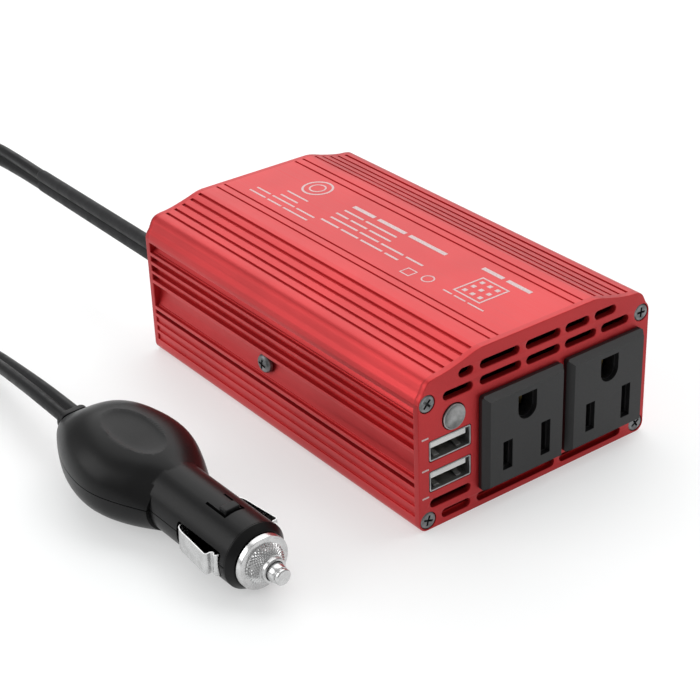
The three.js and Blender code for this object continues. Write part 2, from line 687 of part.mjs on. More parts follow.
/** Side contact: a strip that flares forward, folded in at the front and anchored at the back. */
function sideContact(side) {
  const outer = [[6.9, 13.75], [8.3, 13.6], [9.2, 14], [10, 14.8], [10.9, 16.1], [10.95, 17],
    [10.3, 23], [9.75, 27.8], [9, 29.2], [5.9, 29.9]];
  const inner = [[5.9, 29.35], [8.6, 28.7], [9.2, 27.5], [9.8, 23], [10.43, 17], [10.35, 16.3],
    [9.6, 15.2], [8.9, 14.5], [8.2, 14.1], [6.9, 14.25]];
  const strip = polygon([...outer, ...inner]);
  const g = extrude(strip, 6).translate(0, 0, -3);
  return side > 0 ? g : g.rotateY(Math.PI);
}

function grommet() {
  const ring = alongY(roundedRect(0, 0, 9.2, 5.2, 2.4), HEAD_END + GAP, HEAD_END + 2.6, 3);
  return cut(ring, [alongY(roundedRect(0, 0, 7.4, 3.9, 1.9), HEAD_END - 2, HEAD_END + 5, 3)]);
}

// ---------------------------------------------------------------- the assembly
const inverter = new THREE.Group();
inverter.name = "power_inverter";

// Inside this group x runs from the left side, y from the front panel's face, z from the floor.
const corner = new THREE.Group();
corner.position.set(-CASE.w / 2, -(CASE.l - OUTLET.out) / 2, 0);
inverter.add(corner);

function part(name, geometry, material, parent = corner) {
  const mesh = new THREE.Mesh(geometry, material.clone());
  mesh.name = name;
  parent.add(mesh);
  return mesh;
}

part("upper_shell", upperShell(), RED);
part("lower_shell", lowerShell(), RED);
part("front_panel", frontPanel(), RED);
part("rear_panel", rearPanel(), RED);

screwPlaces.forEach(({ x, z }, i) => {
  part(`front_screw_${i + 1}`, panelScrew(), SCREW).position.set(x, 0, z);
  const back = part(`rear_screw_${i + 1}`, panelScrew(), SCREW);
  back.rotation.z = Math.PI;
  back.position.set(x, CASE.l, z);
});
for (const [name, sign, x] of [["left", 1, SIDE_SCREW.face], ["right", -1, CASE.w - SIDE_SCREW.face]]) {
  const screw = part(`side_screw_${name}`, sideScrew(), SCREW);
  screw.rotation.z = -sign * (Math.PI / 2);
  screw.position.set(x, SIDE_SCREW.y, SIDE_SCREW.z);
}

OUTLET.xs.forEach((x, i) => {
  part(`outlet_${i + 1}`, outletBody(x), BLACK);
  for (const { name, dx, h } of SLOTS) {
    part(`outlet_${i + 1}_${name}`, clip(x + dx, OUTLET.blade, 1.6, h), BRASS);
  }
  part(`outlet_${i + 1}_ground`, clip(x, OUTLET.blade + PIN.ground, 5, 6.4), BRASS);
});

USB.zs.forEach((z, i) => {
  part(`usb_port_${i + 1}`, usbShell(z), NICKEL);
  part(`usb_tongue_${i + 1}`, usbTongue(z), WHITE);
});
part("power_button", button(), SILVER);
part("button_switch", switchBody(), BLACK);
part("port_board", box(5.2, 18.4, 14.9, 16.5, 10.6, 35), BOARD_GREEN);

part("main_board", mainBoard(), BOARD_GREEN);
for (const left of [true, false]) {
  const side = left ? "left" : "right";
  part(`heat_bar_${side}`, heatBar(left), ALU);
  [50, 82].forEach((y, i) => part(`transistor_${side}_${i + 1}`, transistor(left, y), BLACK));
}
part("transformer_core", transformerCore(), FERRITE);
part("transformer_winding", transformerWinding(), TAPE);
part("capacitor_1", capacitor(30, 92, 7.5, 25), BLACK);
part("capacitor_2", capacitor(47.5, 92, 7.5, 25), BLACK);
part("capacitor_3", capacitor(38.7, 37, 8, 28), BLACK);
part("fan_frame", fanFrame(), BLACK);
part("fan_rotor", fanRotor(), BLACK);

part("cord_gland", gland(), RUBBER);
part("cord_sleeve", sleeve(), RUBBER);
part("cord", lead(), RUBBER);

const plug = new THREE.Group();
const [tip, tail] = [PLUG.tip, PLUG.tail].map((p) => new THREE.Vector3(...p));
const along = tail.clone().sub(tip).normalize();
const across = new THREE.Vector3().crossVectors(along, new THREE.Vector3(0, 0, 1)).normalize();
const up = new THREE.Vector3().crossVectors(across, along);
plug.setRotationFromMatrix(new THREE.Matrix4().makeBasis(across, along, up));
plug.position.copy(tip);
corner.add(plug);

const wholeGrip = plugBody();
part("plug_upper", plugHalf(wholeGrip, true), SATIN_BLACK, plug);
part("plug_lower", plugHalf(wholeGrip, false), SATIN_BLACK, plug);
part("plug_nose", plugNose(), SATIN_BLACK, plug);
part("plug_cap", tipCap(), NICKEL, plug);
part("plug_pin", centrePin(), NICKEL, plug);
part("plug_spring", pinSpring(), NICKEL, plug);
part("plug_fuse", fuse(), GLASS, plug);
part("plug_contact_left", sideContact(-1), NICKEL, plug);
part("plug_contact_right", sideContact(1), NICKEL, plug);
part("plug_grommet", grommet(), RUBBER, plug);

export default inverter;
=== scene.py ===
import math

import bmesh
import bpy
from mathutils import Matrix, Vector


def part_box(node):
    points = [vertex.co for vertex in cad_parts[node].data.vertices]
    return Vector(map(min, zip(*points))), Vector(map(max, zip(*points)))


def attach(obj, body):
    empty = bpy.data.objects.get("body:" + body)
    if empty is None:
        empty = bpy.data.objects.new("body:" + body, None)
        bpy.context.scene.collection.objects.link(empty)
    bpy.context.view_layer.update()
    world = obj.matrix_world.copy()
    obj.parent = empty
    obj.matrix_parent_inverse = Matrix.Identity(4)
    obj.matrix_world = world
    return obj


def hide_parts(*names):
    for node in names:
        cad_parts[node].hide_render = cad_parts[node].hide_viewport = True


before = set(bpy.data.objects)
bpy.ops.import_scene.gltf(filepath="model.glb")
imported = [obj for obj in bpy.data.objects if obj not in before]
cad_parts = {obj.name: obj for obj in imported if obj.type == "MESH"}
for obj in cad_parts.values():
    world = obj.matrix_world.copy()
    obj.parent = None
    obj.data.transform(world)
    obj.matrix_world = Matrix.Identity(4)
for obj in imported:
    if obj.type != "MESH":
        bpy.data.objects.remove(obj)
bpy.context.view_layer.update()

# The two-outlet power inverter with its lead and lighter plug.
# Sizes are millimetres in the case's own frame: x from its left side, y from the front panel's face
# towards the rear, z up from the floor. CASE turns them into the row's metres.

MM = 0.001
CORNER = Vector(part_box("front_panel")[0])
CASE = Matrix.Translation(CORNER) @ Matrix.Scale(MM, 4)

# ------------------------------------------------------------------ driving dimensions
WIDTH, LENGTH, HEIGHT, FOOT, PANEL = 77.4, 124.0, 46.0, 2.5, 2.0
REAR = LENGTH - PANEL
INNER_WALL, FLOOR_T, SEAM, GAP = 3.28, 2.2, 13.4, 0.3
PANEL_EDGE = 0.25  # softened edge of the sheet parts
SHOULDER = [
    (0, 36.6), (0.5, 38), (1.3, 39.1), (1.9, 40.3), (2.6, 41.5), (3.7, 42.35), (5.2, 42.75),
    (7.5, 43), (10, 43.45), (14.3, 44.55), (18.3, 45.75), (20, HEIGHT),
]
OUTLET_XS, OUTLET_Z = (32.45, 60.7), 18.95
USB_X, USB_ZS, USB_W, USB_H = 10.0, (22.6, 13.85), 13.1, 5.7
BUTTON = {"x": 11.15, "z": 29.9, "r": 3.5, "out": 0.4}
PANEL_SCREWS = [(x, z) for z in (2.85, 36.4) for x in (2.85, WIDTH - 2.85)]
SIDE_SCREW = {"y": 66.8, "z": 19.45, "face": -0.1}
EXIT = {"x": 9.0, "z": 25.0, "sleeve": 81.0}
PLUG_TIP, PLUG_TAIL = Vector((-42.6, -2.75, 8.45)), Vector((-47.7, 88, 12.4))
BARREL = 8.9
GRIP_END = 87.7  # where the plug's grip stops at the lead, from the tip

# ------------------------------------------------------------------ camera
SENSOR = 36  # width of the camera's sensor, in the lens's millimetres
CAMERA = {
    "place": (-223.9, -280.06, 253.24), "azimuth": -36.148, "elevation": 29.2025,
    "roll": -2.098, "lens": 90.651,
}


def add_camera():
    azimuth, elevation, roll = (math.radians(CAMERA[k]) for k in ("azimuth", "elevation", "roll"))
    forward = Vector((
        -math.sin(azimuth) * math.cos(elevation),
        math.cos(azimuth) * math.cos(elevation),
        -math.sin(elevation),
    ))
    level = forward.cross(Vector((0, 0, 1))).normalized()
    over = level.cross(forward)
    right = level * math.cos(roll) + over * math.sin(roll)
    up = over * math.cos(roll) - level * math.sin(roll)
    data = bpy.data.cameras.new("camera")
    data.lens, data.sensor_width = CAMERA["lens"], SENSOR
    data.clip_start, data.clip_end = 0.01, 20
    camera = bpy.data.objects.new("camera", data)
    turn = Matrix((right, up, -forward)).transposed().to_4x4()
    camera.matrix_world = Matrix.Translation(CASE @ Vector(CAMERA["place"])) @ turn
    bpy.context.scene.collection.objects.link(camera)
    bpy.context.scene.camera = camera


# ------------------------------------------------------------------ small maths
def smoothstep(t):
    t = min(max(t, 0.0), 1.0)
    return t * t * (3 - 2 * t)


def read_table(table, at):
    """Smooth value of a table of (place, value) at a place between its ends."""
    last = len(table) - 1
    i = next((k for k in range(1, last) if table[k][0] >= at), last)
    (x0, y0), (x1, y1) = table[i - 1], table[i]

    def slope(k):
        a, b = table[max(k - 1, 0)], table[min(k + 1, last)]
        return (b[1] - a[1]) / (b[0] - a[0])

    span = x1 - x0
    t = min(max((at - x0) / span, 0.0), 1.0)
    m0, m1 = slope(i - 1) * span, slope(i) * span
    return (
        (2 * t**3 - 3 * t**2 + 1) * y0 + (t**3 - 2 * t**2 + t) * m0
        + (3 * t**2 - 2 * t**3) * y1 + (t**3 - t**2) * m1
    )


def spline(points, per_span):
    """A centripetal curve through the points, as a list of points."""
    p = [Vector(q) for q in points]
    p = [2 * p[0] - p[1], *p, 2 * p[-1] - p[-2]]
    out = []
    for a, b, c, d in zip(p, p[1:], p[2:], p[3:]):
        t1 = math.sqrt((b - a).length)
        t2 = t1 + math.sqrt((c - b).length)
        t3 = t2 + math.sqrt((d - c).length)
        for k in range(per_span):
            t = t1 + (t2 - t1) * k / per_span
            ab = a * (t1 - t) / t1 + b * t / t1
            bc = b * (t2 - t) / (t2 - t1) + c * (t - t1) / (t2 - t1)
            cd = c * (t3 - t) / (t3 - t2) + d * (t - t2) / (t3 - t2)
            abc = ab * (t2 - t) / t2 + bc * t / t2
            bcd = bc * (t3 - t) / (t3 - t1) + cd * (t - t1) / (t3 - t1)
            out.append(abc * (t2 - t) / (t2 - t1) + bcd * (t - t1) / (t2 - t1))
    return [*out, p[-2]]


def flat(points):
    """The first two coordinates of each point."""
    return [(p.x, p.y) for p in points]


def evenly(points, step):
    """The same line with its points about step apart."""
    total = sum((b - a).length for a, b in zip(points, points[1:]))
    count = max(1, round(total / step))
    wanted = [total * i / count for i in range(count + 1)]
    out, run, i = [points[0]], 0.0, 0
    for target in wanted[1:-1]:
        while run + (points[i + 1] - points[i]).length < target:
            run += (points[i + 1] - points[i]).length
            i += 1
        t = (target - run) / (points[i + 1] - points[i]).length
        out.append(points[i].lerp(points[i + 1], t))
    return [*out, points[-1]]


MOST_OF_SIDE = 0.42  # the part of a side that one rounded corner may take


def round_corners(points, radius, closed=True, steps=3, sharper=math.radians(20)):
    """An outline with its corners rounded; the small turns of a curve stay as they are."""
    p = [Vector(q) for q in points]
    out = []
    for i, b in enumerate(p):
        if not closed and i in (0, len(p) - 1):
            out.append(b)
            continue
        u, v = p[i - 1] - b, p[(i + 1) % len(p)] - b
        turn = math.pi - u.angle(v)
        if turn < sharper:
            out.append(b)
            continue
        most = MOST_OF_SIDE * min(u.length, v.length)
        reach = min(radius * math.tan(turn / 2), most)
        start, end = b + u.normalized() * reach, b + v.normalized() * reach
        for k in range(steps + 1):
            t = k / steps
            out.append(start.lerp(b, t).lerp(b.lerp(end, t), t))
    return out


def arc(cx, cz, r, start, end, steps):
    angles = [math.radians(start + (end - start) * k / steps) for k in range(steps + 1)]
    return [(cx + r * math.cos(a), cz + r * math.sin(a)) for a in angles]


def circle(cx, cz, r, sides=48):
    return arc(cx, cz, r, 0, 360 - 360 / sides, sides - 1)


def rounded_rect(cx, cz, w, h, r, steps=5):
    a, b = w / 2 - r, h / 2 - r
    corners = [(a, -b, -90), (a, b, 0), (-a, b, 90), (-a, -b, 180)]
    return [p for x, z, start in corners for p in arc(cx + x, cz + z, r, start, start + 90, steps)]


def mirrored(points):
    """The points and their mirror images on the case's other side, as one line."""
    return [*points, *[(WIDTH - x, z) for x, z in reversed(points)]]


# ------------------------------------------------------------------ shapes
def make_mesh(points, faces):
    mesh = bpy.data.meshes.new("shape")
    mesh.from_pydata([tuple(p) for p in points], [], faces)
    return tidied(mesh)


def tidied(mesh, merge=1e-4):
    """Doubles merged and the normals turned outwards."""
    work = bmesh.new()
    work.from_mesh(mesh)
    bmesh.ops.remove_doubles(work, verts=work.verts, dist=merge)
    bmesh.ops.dissolve_degenerate(work, edges=work.edges, dist=merge)
    bmesh.ops.recalc_face_normals(work, faces=work.faces)
    work.to_mesh(mesh)
    work.free()
    return mesh


def loft(rings, capped=True):
    count = len(rings[0])
    points = [p for ring in rings for p in ring]
    faces = [
        (i + j, i + (j + 1) % count, i + count + (j + 1) % count, i + count + j)
        for i in range(0, len(points) - count, count)
        for j in range(count)
    ]
    if capped:
        faces += [tuple(range(count)), tuple(range(len(points) - count, len(points)))]
    return make_mesh(points, faces)


def prism(outline, y0, y1):
    """An outline drawn in (x, z), from y0 to y1."""
    return loft([[(x, y, z) for x, z in outline] for y in (y0, y1)])


def lathe(profile, sides=48, x=0.0, z=0.0):
    """Round shape about a line along Y; profile is [radius, y], from axis to axis or closed."""
    turns = [math.tau * k / sides for k in range(sides)]
    return loft(
        [[(x + r * math.cos(a), y, z + r * math.sin(a)) for a in turns] for r, y in profile],
        capped=False,
    )


def rod(x, z, r, y0, y1, sides=48):
    return lathe([(0, y0), (r, y0), (r, y1), (0, y1)], sides, x, z)


def block(x0, x1, y0, y1, z0, z1):
    return prism([(x0, z0), (x1, z0), (x1, z1), (x0, z1)], y0, y1)


def evaluated(holder):
    """The mesh of an object with its modifiers applied; the object goes away."""
    bpy.context.scene.collection.objects.link(holder)
    seen = holder.evaluated_get(bpy.context.evaluated_depsgraph_get())
    mesh = bpy.data.meshes.new_from_object(seen)
    bpy.data.objects.remove(holder)
    return mesh


def combined(mesh, others, operation="DIFFERENCE"):
    holder = bpy.data.objects.new("holder", mesh)
    tools = [bpy.data.objects.new("tool", other) for other in others]
    for tool in tools:
        bpy.context.scene.collection.objects.link(tool)
        step = holder.modifiers.new("step", "BOOLEAN")
        step.object, step.operation, step.solver = tool, operation, "EXACT"
    result = evaluated(holder)
    for tool in tools:
        bpy.data.objects.remove(tool)
    return tidied(result, 2e-3)


def bevelled(mesh, width, segments=2, angle=38):
    holder = bpy.data.objects.new("holder", mesh)
    step = holder.modifiers.new("edges", "BEVEL")
    step.width, step.segments, step.angle_limit = width, segments, math.radians(angle)
    step.use_clamp_overlap = True
    return evaluated(holder)


def plate(outline, holes, y0, y1, edge=PANEL_EDGE):
    """A flat panel with through holes and softened edges; loops are drawn in (x, z)."""
    curve = bpy.data.curves.new("plate", "CURVE")
    curve.dimensions, curve.fill_mode = "2D", "BOTH"
    curve.extrude, curve.offset = (y1 - y0) / 2 - edge, -edge
    curve.bevel_depth, curve.bevel_resolution = edge, 1
    for loop in (outline, *holes):
        line = curve.splines.new("POLY")
        line.points.add(len(loop) - 1)
        for point, (x, z) in zip(line.points, loop):
            point.co = (x, z, 0, 1)
        line.use_cyclic_u = True
    mesh = evaluated(bpy.data.objects.new("plate", curve))
    stand = Matrix.Translation((0, (y0 + y1) / 2, 0)) @ Matrix.Rotation(math.pi / 2, 4, "X")
    mesh.transform(stand)
    return tidied(mesh, 1e-3)


def merged(meshes):
    """Several meshes as one."""
    work = bmesh.new()
    for mesh in meshes:
        work.from_mesh(mesh)
    result = bpy.data.meshes.new("merged")
    work.to_mesh(result)
    work.free()
    return result


def moved(mesh, matrix):
    copy = mesh.copy()
    copy.transform(matrix)
    return copy


# ------------------------------------------------------------------ pieces
def piece(name, mesh, surface, place=CASE, body="case", stands_for=(), sharp=32):
    """Adds one piece: its mesh goes from millimetres to its place, in the row's metres."""
    mesh = moved(mesh, place)
    mesh.name = name
    mesh.materials.clear()
    mesh.materials.append(surface)
    mesh.shade_smooth()
    mesh.set_sharp_from_angle(angle=math.radians(sharp))
    obj = bpy.data.objects.new(name, mesh)
    bpy.context.scene.collection.objects.link(obj)
    normals = obj.modifiers.new("normals", "WEIGHTED_NORMAL")
    normals.keep_sharp, normals.weight = True, 90
    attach(obj, body)
    if stands_for:
        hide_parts(*stands_for)
    return obj


def kept(node, surface, width=0.15, angle=30, segments=2):
    """A CAD node that stays: it gets its material and softened edges."""
    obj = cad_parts[node]
    obj.data.materials.clear()
    obj.data.materials.append(surface)
    if width:
        dissolve = obj.modifiers.new("flat", "DECIMATE")
        dissolve.decimate_type, dissolve.angle_limit = "DISSOLVE", math.radians(1)
        edges = obj.modifiers.new("edges", "BEVEL")
        edges.width, edges.segments = width * MM, segments
        edges.angle_limit, edges.harden_normals = math.radians(angle), False


# ------------------------------------------------------------------ materials
class Surface:
    """A node material. Lengths in it are millimetres, read from the object's own coordinates."""

    def __init__(self, name, colour, roughness, metallic=0.0, **sockets):
        self.material = bpy.data.materials.new(name)
        self.material.use_nodes = True
        self.nodes = self.material.node_tree.nodes
        self.shader = self.nodes["Principled BSDF"]
        self.shader.inputs["Base Color"].default_value = (*colour, 1)
        self.shader.inputs["Roughness"].default_value = roughness
        self.shader.inputs["Metallic"].default_value = metallic
        for socket, value in sockets.items():
            self.shader.inputs[socket.replace("_", " ")].default_value = value
        self.height = None

    def link(self, output, socket):
        self.material.node_tree.links.new(output, socket)

    def add(self, kind, **settings):
        node = self.nodes.new(kind)
        for key, value in settings.items():
            setattr(node, key, value)
        return node

    def place(self, per_mm, turn=(0, 0, 0)):
        """The object's coordinates in steps per millimetre along x, y and z."""
        coords, mapping = self.add("ShaderNodeTexCoord"), self.add("ShaderNodeMapping")
        mapping.inputs["Scale"].default_value = [1000 * s for s in per_mm]
        mapping.inputs["Rotation"].default_value = turn
        self.link(coords.outputs["Object"], mapping.inputs["Vector"])
        return mapping.outputs["Vector"]

    def noise(self, per_mm, detail=3.0, rough=0.55):
        """Noise with its steps per millimetre, the same in all directions or one for each."""
        per_mm = per_mm if isinstance(per_mm, tuple) else (per_mm,) * 3
        texture = self.add("ShaderNodeTexNoise")
        texture.inputs["Scale"].default_value = 1.0
        texture.inputs["Detail"].default_value = detail
        texture.inputs["Roughness"].default_value = rough
        self.link(self.place(per_mm), texture.inputs["Vector"])
        return texture.outputs["Fac"]

    def spread(self, value, low, high, start=0.35, stop=0.65):
        node = self.add("ShaderNodeMapRange", interpolation_type="SMOOTHSTEP")
        for socket, number in (("From Min", start), ("From Max", stop), ("To Min", low), ("To Max", high)):
            node.inputs[socket].default_value = number
        self.link(value, node.inputs["Value"])
        return node.outputs["Result"]

    def math(self, operation, a, b):
        node = self.add("ShaderNodeMath", operation=operation)
        for socket, value in zip(node.inputs, (a, b)):
            if isinstance(value, (int, float)):
                socket.default_value = value
            else:
                self.link(value, socket)
        return node.outputs["Value"]

    def colour(self, factor, first, second):
        """The base colour goes from first to second with the factor."""
        node = self.add("ShaderNodeMix", data_type="RGBA")
        self.link(factor, node.inputs["Factor"])
        node.inputs["A"].default_value = (*first, 1)
        node.inputs["B"].default_value = (*second, 1)
        self.link(node.outputs["Result"], self.shader.inputs["Base Color"])
        return self

    def rough(self, factor, low, high, start=0.35, stop=0.65):
        self.link(self.spread(factor, low, high, start, stop), self.shader.inputs["Roughness"])
        return self

    def bump(self, height, depth_mm, strength=1.0):
        node = self.add("ShaderNodeBump")
        node.inputs["Distance"].default_value = depth_mm * MM
        node.inputs["Strength"].default_value = strength
        self.link(height, node.inputs["Height"])
        if self.height:
            self.link(self.height, node.inputs["Normal"])
        self.height = node.outputs["Normal"]
        self.link(self.height, self.shader.inputs["Normal"])
        return self


def anodised(name, along_y, low, high, haze):
    """Red anodised aluminium: extrusion lines along the case, or a plain blasted sheet."""
    s = Surface(name, high, 0.4, 0.6, Coat_Weight=haze, Coat_Roughness=0.45)
    lines = s.noise((5.5, 0.012, 5.5) if along_y else (3.2, 3.2, 3.2), 4)
    broad = s.noise(0.035, 2)
    shade = s.math("ADD", s.math("MULTIPLY", lines, 0.45), s.math("MULTIPLY", broad, 0.55))
    s.colour(s.spread(shade, 0, 1), low, high)
    s.rough(lines, 0.34, 0.44)
    s.bump(lines, 0.006 if along_y else 0.003)
    return s.bump(s.noise(14, 2), 0.0035).material


def moulded(name, colour, roughness, grain, depth, **sockets):
    """Injection-moulded plastic with an even grain and faint flow marks."""
    s = Surface(name, colour, roughness, 0.0, **sockets)
    light = tuple(min(1, c * 1.12 + 0.001) for c in colour)
    s.colour(s.spread(s.noise(0.09, 4), 0, 1, 0.3, 0.7), colour, light)
    s.rough(s.noise(3.0, 3), roughness - 0.03, roughness + 0.04)
    s.bump(s.noise(grain, 3), depth)
    return s.material


def rubbery(name, colour, roughness):
    """Soft cable jacket: drawn along its length, with dust held in the grain."""
    s = Surface(name, colour, roughness, 0.0, Specular_IOR_Level=0.2)
    dust = s.spread(s.noise(1.6, 5, 0.7), 0, 1, 0.5, 0.8)
    s.colour(dust, colour, tuple(c * 1.35 + 0.005 for c in colour))
    s.rough(s.noise(0.25, 3), roughness - 0.06, roughness + 0.08)
    return s.bump(s.noise(4.5, 3), 0.02).material


def metal(name, colour, roughness, grain, depth=0.004, worn=0.15):
    """Plated or bare metal with brushing and slight tarnish."""
    s = Surface(name, colour, roughness, 1.0)
    dark = tuple(c * (1 - worn) for c in colour)
    s.colour(s.spread(s.noise(0.4, 4), 0, 1), dark, colour)
    brush = s.noise(grain, 3)
    s.rough(brush, roughness - 0.06, roughness + 0.08)
    return s.bump(brush, depth).material


def circuit_board():
    """Solder mask over a faint grid of tracks."""
    s = Surface("board_green", (0.02, 0.12, 0.05), 0.4)
    tracks = s.add("ShaderNodeTexBrick")
    tracks.inputs["Scale"].default_value = 1.0
    tracks.inputs["Mortar Size"].default_value = 0.08
    tracks.inputs["Color1"].default_value = tracks.inputs["Color2"].default_value = (0, 0, 0, 1)
    tracks.inputs["Mortar"].default_value = (1, 1, 1, 1)
    s.link(s.place((0.3, 0.3, 0.3)), tracks.inputs["Vector"])
    s.colour(tracks.outputs["Color"], (0.015, 0.1, 0.045), (0.03, 0.2, 0.08))
    s.rough(s.noise(0.6, 3), 0.34, 0.46)
    return s.bump(tracks.outputs["Fac"], 0.03).material


def glass():
    s = Surface("fuse_glass", (0.95, 0.97, 0.97), 0.04, Transmission_Weight=1.0, IOR=1.5)
    s.rough(s.noise(0.8, 3), 0.03, 0.09)
    return s.bump(s.noise(0.3, 2), 0.01).material


def printed():
    """White ink: slightly uneven and worn through at places."""
    s = Surface("print_white", (0.82, 0.8, 0.8), 0.5)
    s.colour(s.spread(s.noise(3.0, 4), 0, 1), (0.5, 0.36, 0.36), (0.66, 0.53, 0.53))
    s.rough(s.noise(5.0, 2), 0.44, 0.58)
    return s.bump(s.noise(9.0, 3), 0.004).material


def pale_floor():
    s = Surface("floor_white", (0.525, 0.535, 0.535), 0.6, Specular_IOR_Level=0.2)
    s.shader.inputs["Emission Color"].default_value = (1, 1, 1, 1)
    s.shader.inputs["Emission Strength"].default_value = 0.44
    s.rough(s.noise(0.02, 2), 0.5, 0.6)
    return s.material


RED_LINES = anodised("anodised_red", True, (0.47, 0.016, 0.019), (0.56, 0.022, 0.026), 0.22)
# The panels' plain blasted red is set darker than the shells' red. That darkness is painted shade for the
# front panel, which faces away from the lamps.
RED_SHEET_SHADED = anodised("anodised_red_sheet_shaded", False, (0.41, 0.014, 0.017), (0.48, 0.02, 0.023), 0.08)
OUTLET_BLACK = moulded("outlet_black", (0.0075, 0.0075, 0.008), 0.42, 7.0, 0.003, Specular_IOR_Level=0.4)
PLUG_BLACK = moulded("plug_black", (0.0035, 0.0035, 0.0037), 0.34, 7.0, 0.002, Specular_IOR_Level=0.18)
INNER_BLACK = moulded("inner_black", (0.014, 0.014, 0.015), 0.5, 3.0, 0.01)
LEAD_RUBBER = rubbery("lead_rubber", (0.006, 0.006, 0.0065), 0.38)
SLEEVE_RUBBER = rubbery("sleeve_rubber", (0.016, 0.016, 0.017), 0.5)
STEEL = metal("screw_steel", (0.24, 0.245, 0.25), 0.38, 6.0, 0.006, 0.45)
NICKEL = metal("contact_nickel", (0.62, 0.62, 0.62), 0.25, (1.2, 7.0, 1.2))
SHELL_STEEL = metal("port_steel", (0.42, 0.42, 0.42), 0.4, 5.0, 0.004, 0.3)
SILVER = metal("button_silver", (0.34, 0.34, 0.338), 0.36, 4.0, 0.004, 0.3)
WHITE = moulded("tongue_white", (0.72, 0.72, 0.7), 0.45, 4.0, 0.005)
# Brass darkened to about half its own colour. This is painted shade, so the clips deep in the outlets' holes
# look dark; the ports' strips share it.
BRASS_SHADED = metal("clip_brass", (0.42, 0.3, 0.12), 0.35, (5.0, 1.0, 5.0))
ALUMINIUM = metal("bar_aluminium", (0.62, 0.63, 0.65), 0.42, (5.0, 0.05, 5.0), 0.01)
BOARD = circuit_board()
FERRITE = moulded("core_ferrite", (0.035, 0.035, 0.038), 0.62, 2.5, 0.02)
TAPE = moulded("winding_tape", (0.6, 0.38, 0.05), 0.35, 0.8, 0.02)
GLASS = glass()
INK = printed()

# ------------------------------------------------------------------ case section
shoulder_line = flat(spline([(x, z, 0) for x, z in SHOULDER], 5))

# Grooves in the sides, as (bottom, top) heights: upper shell, then lower shell.
SIDE_GROOVES, SIDE_DEPTH = [(23.75, 25.7), (26.6, 28.55), (29.6, 31.4)], 1.6
LOW_GROOVES, LOW_DEPTH = [(9.95, 11.7), (7.2, 8.85), (4.2, 6.2)], 0.55
SEAM_LOW, SEAM_HIGH, SEAM_DEPTH = 12.75, 14.0, 1.9
RECESS, UNDERCUT = (15.2, 22.6, 2.4), (32.45, 35.5, 2.5)  # bottom, top, depth
LEDGE_X, LEDGE_UP = 1.0, 0.35
# The hollow back above a ledge: part of the depth, and part of the height from ledge to top.
LEDGE_BACK = [(0.5, 0.0), (0.6, 0.08), (0.78, 0.24), (0.92, 0.44), (1, 0.7), (1, 1)]
# Grooves in the top: x of the middle, width, depth.
SLOPE_GROOVES = [(6.65 + 2.83 * i, 0.85, 0.6) for i in range(5)]
TOP_GROOVES = [(24.1, 0.6, 0.45), (26.8, 0.6, 0.45)]
RIGHT_TOP_GROOVES = [(55.0, 0.6, 0.45), (52.15, 0.6, 0.45)]
RIB_EDGE = 0.16


def skin(x):
    """Height of the outer skin on the left half."""
    for (x0, z0), (x1, z1) in zip(shoulder_line, shoulder_line[1:]):
        if x0 <= x <= x1:
            return z0 + (z1 - z0) * (x - x0) / (x1 - x0)
    return HEIGHT


def notch(z0, z1, depth):
    return [(0, z0), (depth, z0), (depth, z1), (0, z1)]


def ledge(z0, z1, depth):
    """A channel with a ledge at its foot and a hollow back that leans out towards the ledge."""
    step, tall = z0 + LEDGE_UP, z1 - z0 - LEDGE_UP
    back = [(depth * k, step + tall * t) for k, t in LEDGE_BACK]
    return [(0, z0), (LEDGE_X, z0), (LEDGE_X, step), *back, (0, z1)]


def top_line(grooves):
    """The shoulder and the flat top up to the middle, with its grooves cut in."""
    line = [*shoulder_line, (WIDTH / 2, HEIGHT)]
    for x, w, depth in grooves:
        x0, x1, bottom = x - w / 2, x + w / 2, skin(x) - depth
        before = [p for p in line if p[0] < x0]
        after = [p for p in line if p[0] > x1]
        line = [*before, (x0, skin(x0)), (x0, bottom), (x1, bottom), (x1, skin(x1)), *after]
    return line


def upper_section():
    side = [(SEAM_DEPTH, SEAM + GAP / 2), (SEAM_DEPTH, SEAM_HIGH), (0, SEAM_HIGH)]
    side += ledge(*RECESS)
    for z0, z1 in SIDE_GROOVES:
        side += notch(z0, z1, SIDE_DEPTH)
    side += ledge(*UNDERCUT)
    left = [*side, *top_line([*SLOPE_GROOVES, *TOP_GROOVES])]
    right_grooves = [(WIDTH - x, w, d) for x, w, d in RIGHT_TOP_GROOVES]
    right = [*side, *top_line([*SLOPE_GROOVES, *reversed(right_grooves)])]
    outer = [*left, *[(WIDTH - x, z) for x, z in reversed(right)][1:]]
    inner = [(INNER_WALL, SEAM + GAP / 2), (INNER_WALL, 38), (6.6, 39.6), (20.4, 43.3)]
    return [*outer, *reversed(mirrored(inner))]


def lower_section():
    side = [(SEAM_DEPTH, SEAM - GAP / 2), (SEAM_DEPTH, SEAM_LOW), (0, SEAM_LOW)]
    for z0, z1 in LOW_GROOVES:
        side += reversed(notch(z0, z1, LOW_DEPTH))
    side += arc(FOOT, FOOT, FOOT, 180, 270, 8)
    inner = [(INNER_WALL, SEAM - GAP / 2), (INNER_WALL, FLOOR_T)]
    return [*mirrored(side), *reversed(mirrored(inner))]


def panel_outline():
    left = [*reversed(arc(FOOT, FOOT, FOOT, 180, 270, 8)), *shoulder_line]
    return mirrored(left)


def rounded(outline, radius, **options):
    return flat(round_corners([(x, z, 0) for x, z in outline], radius, **options))


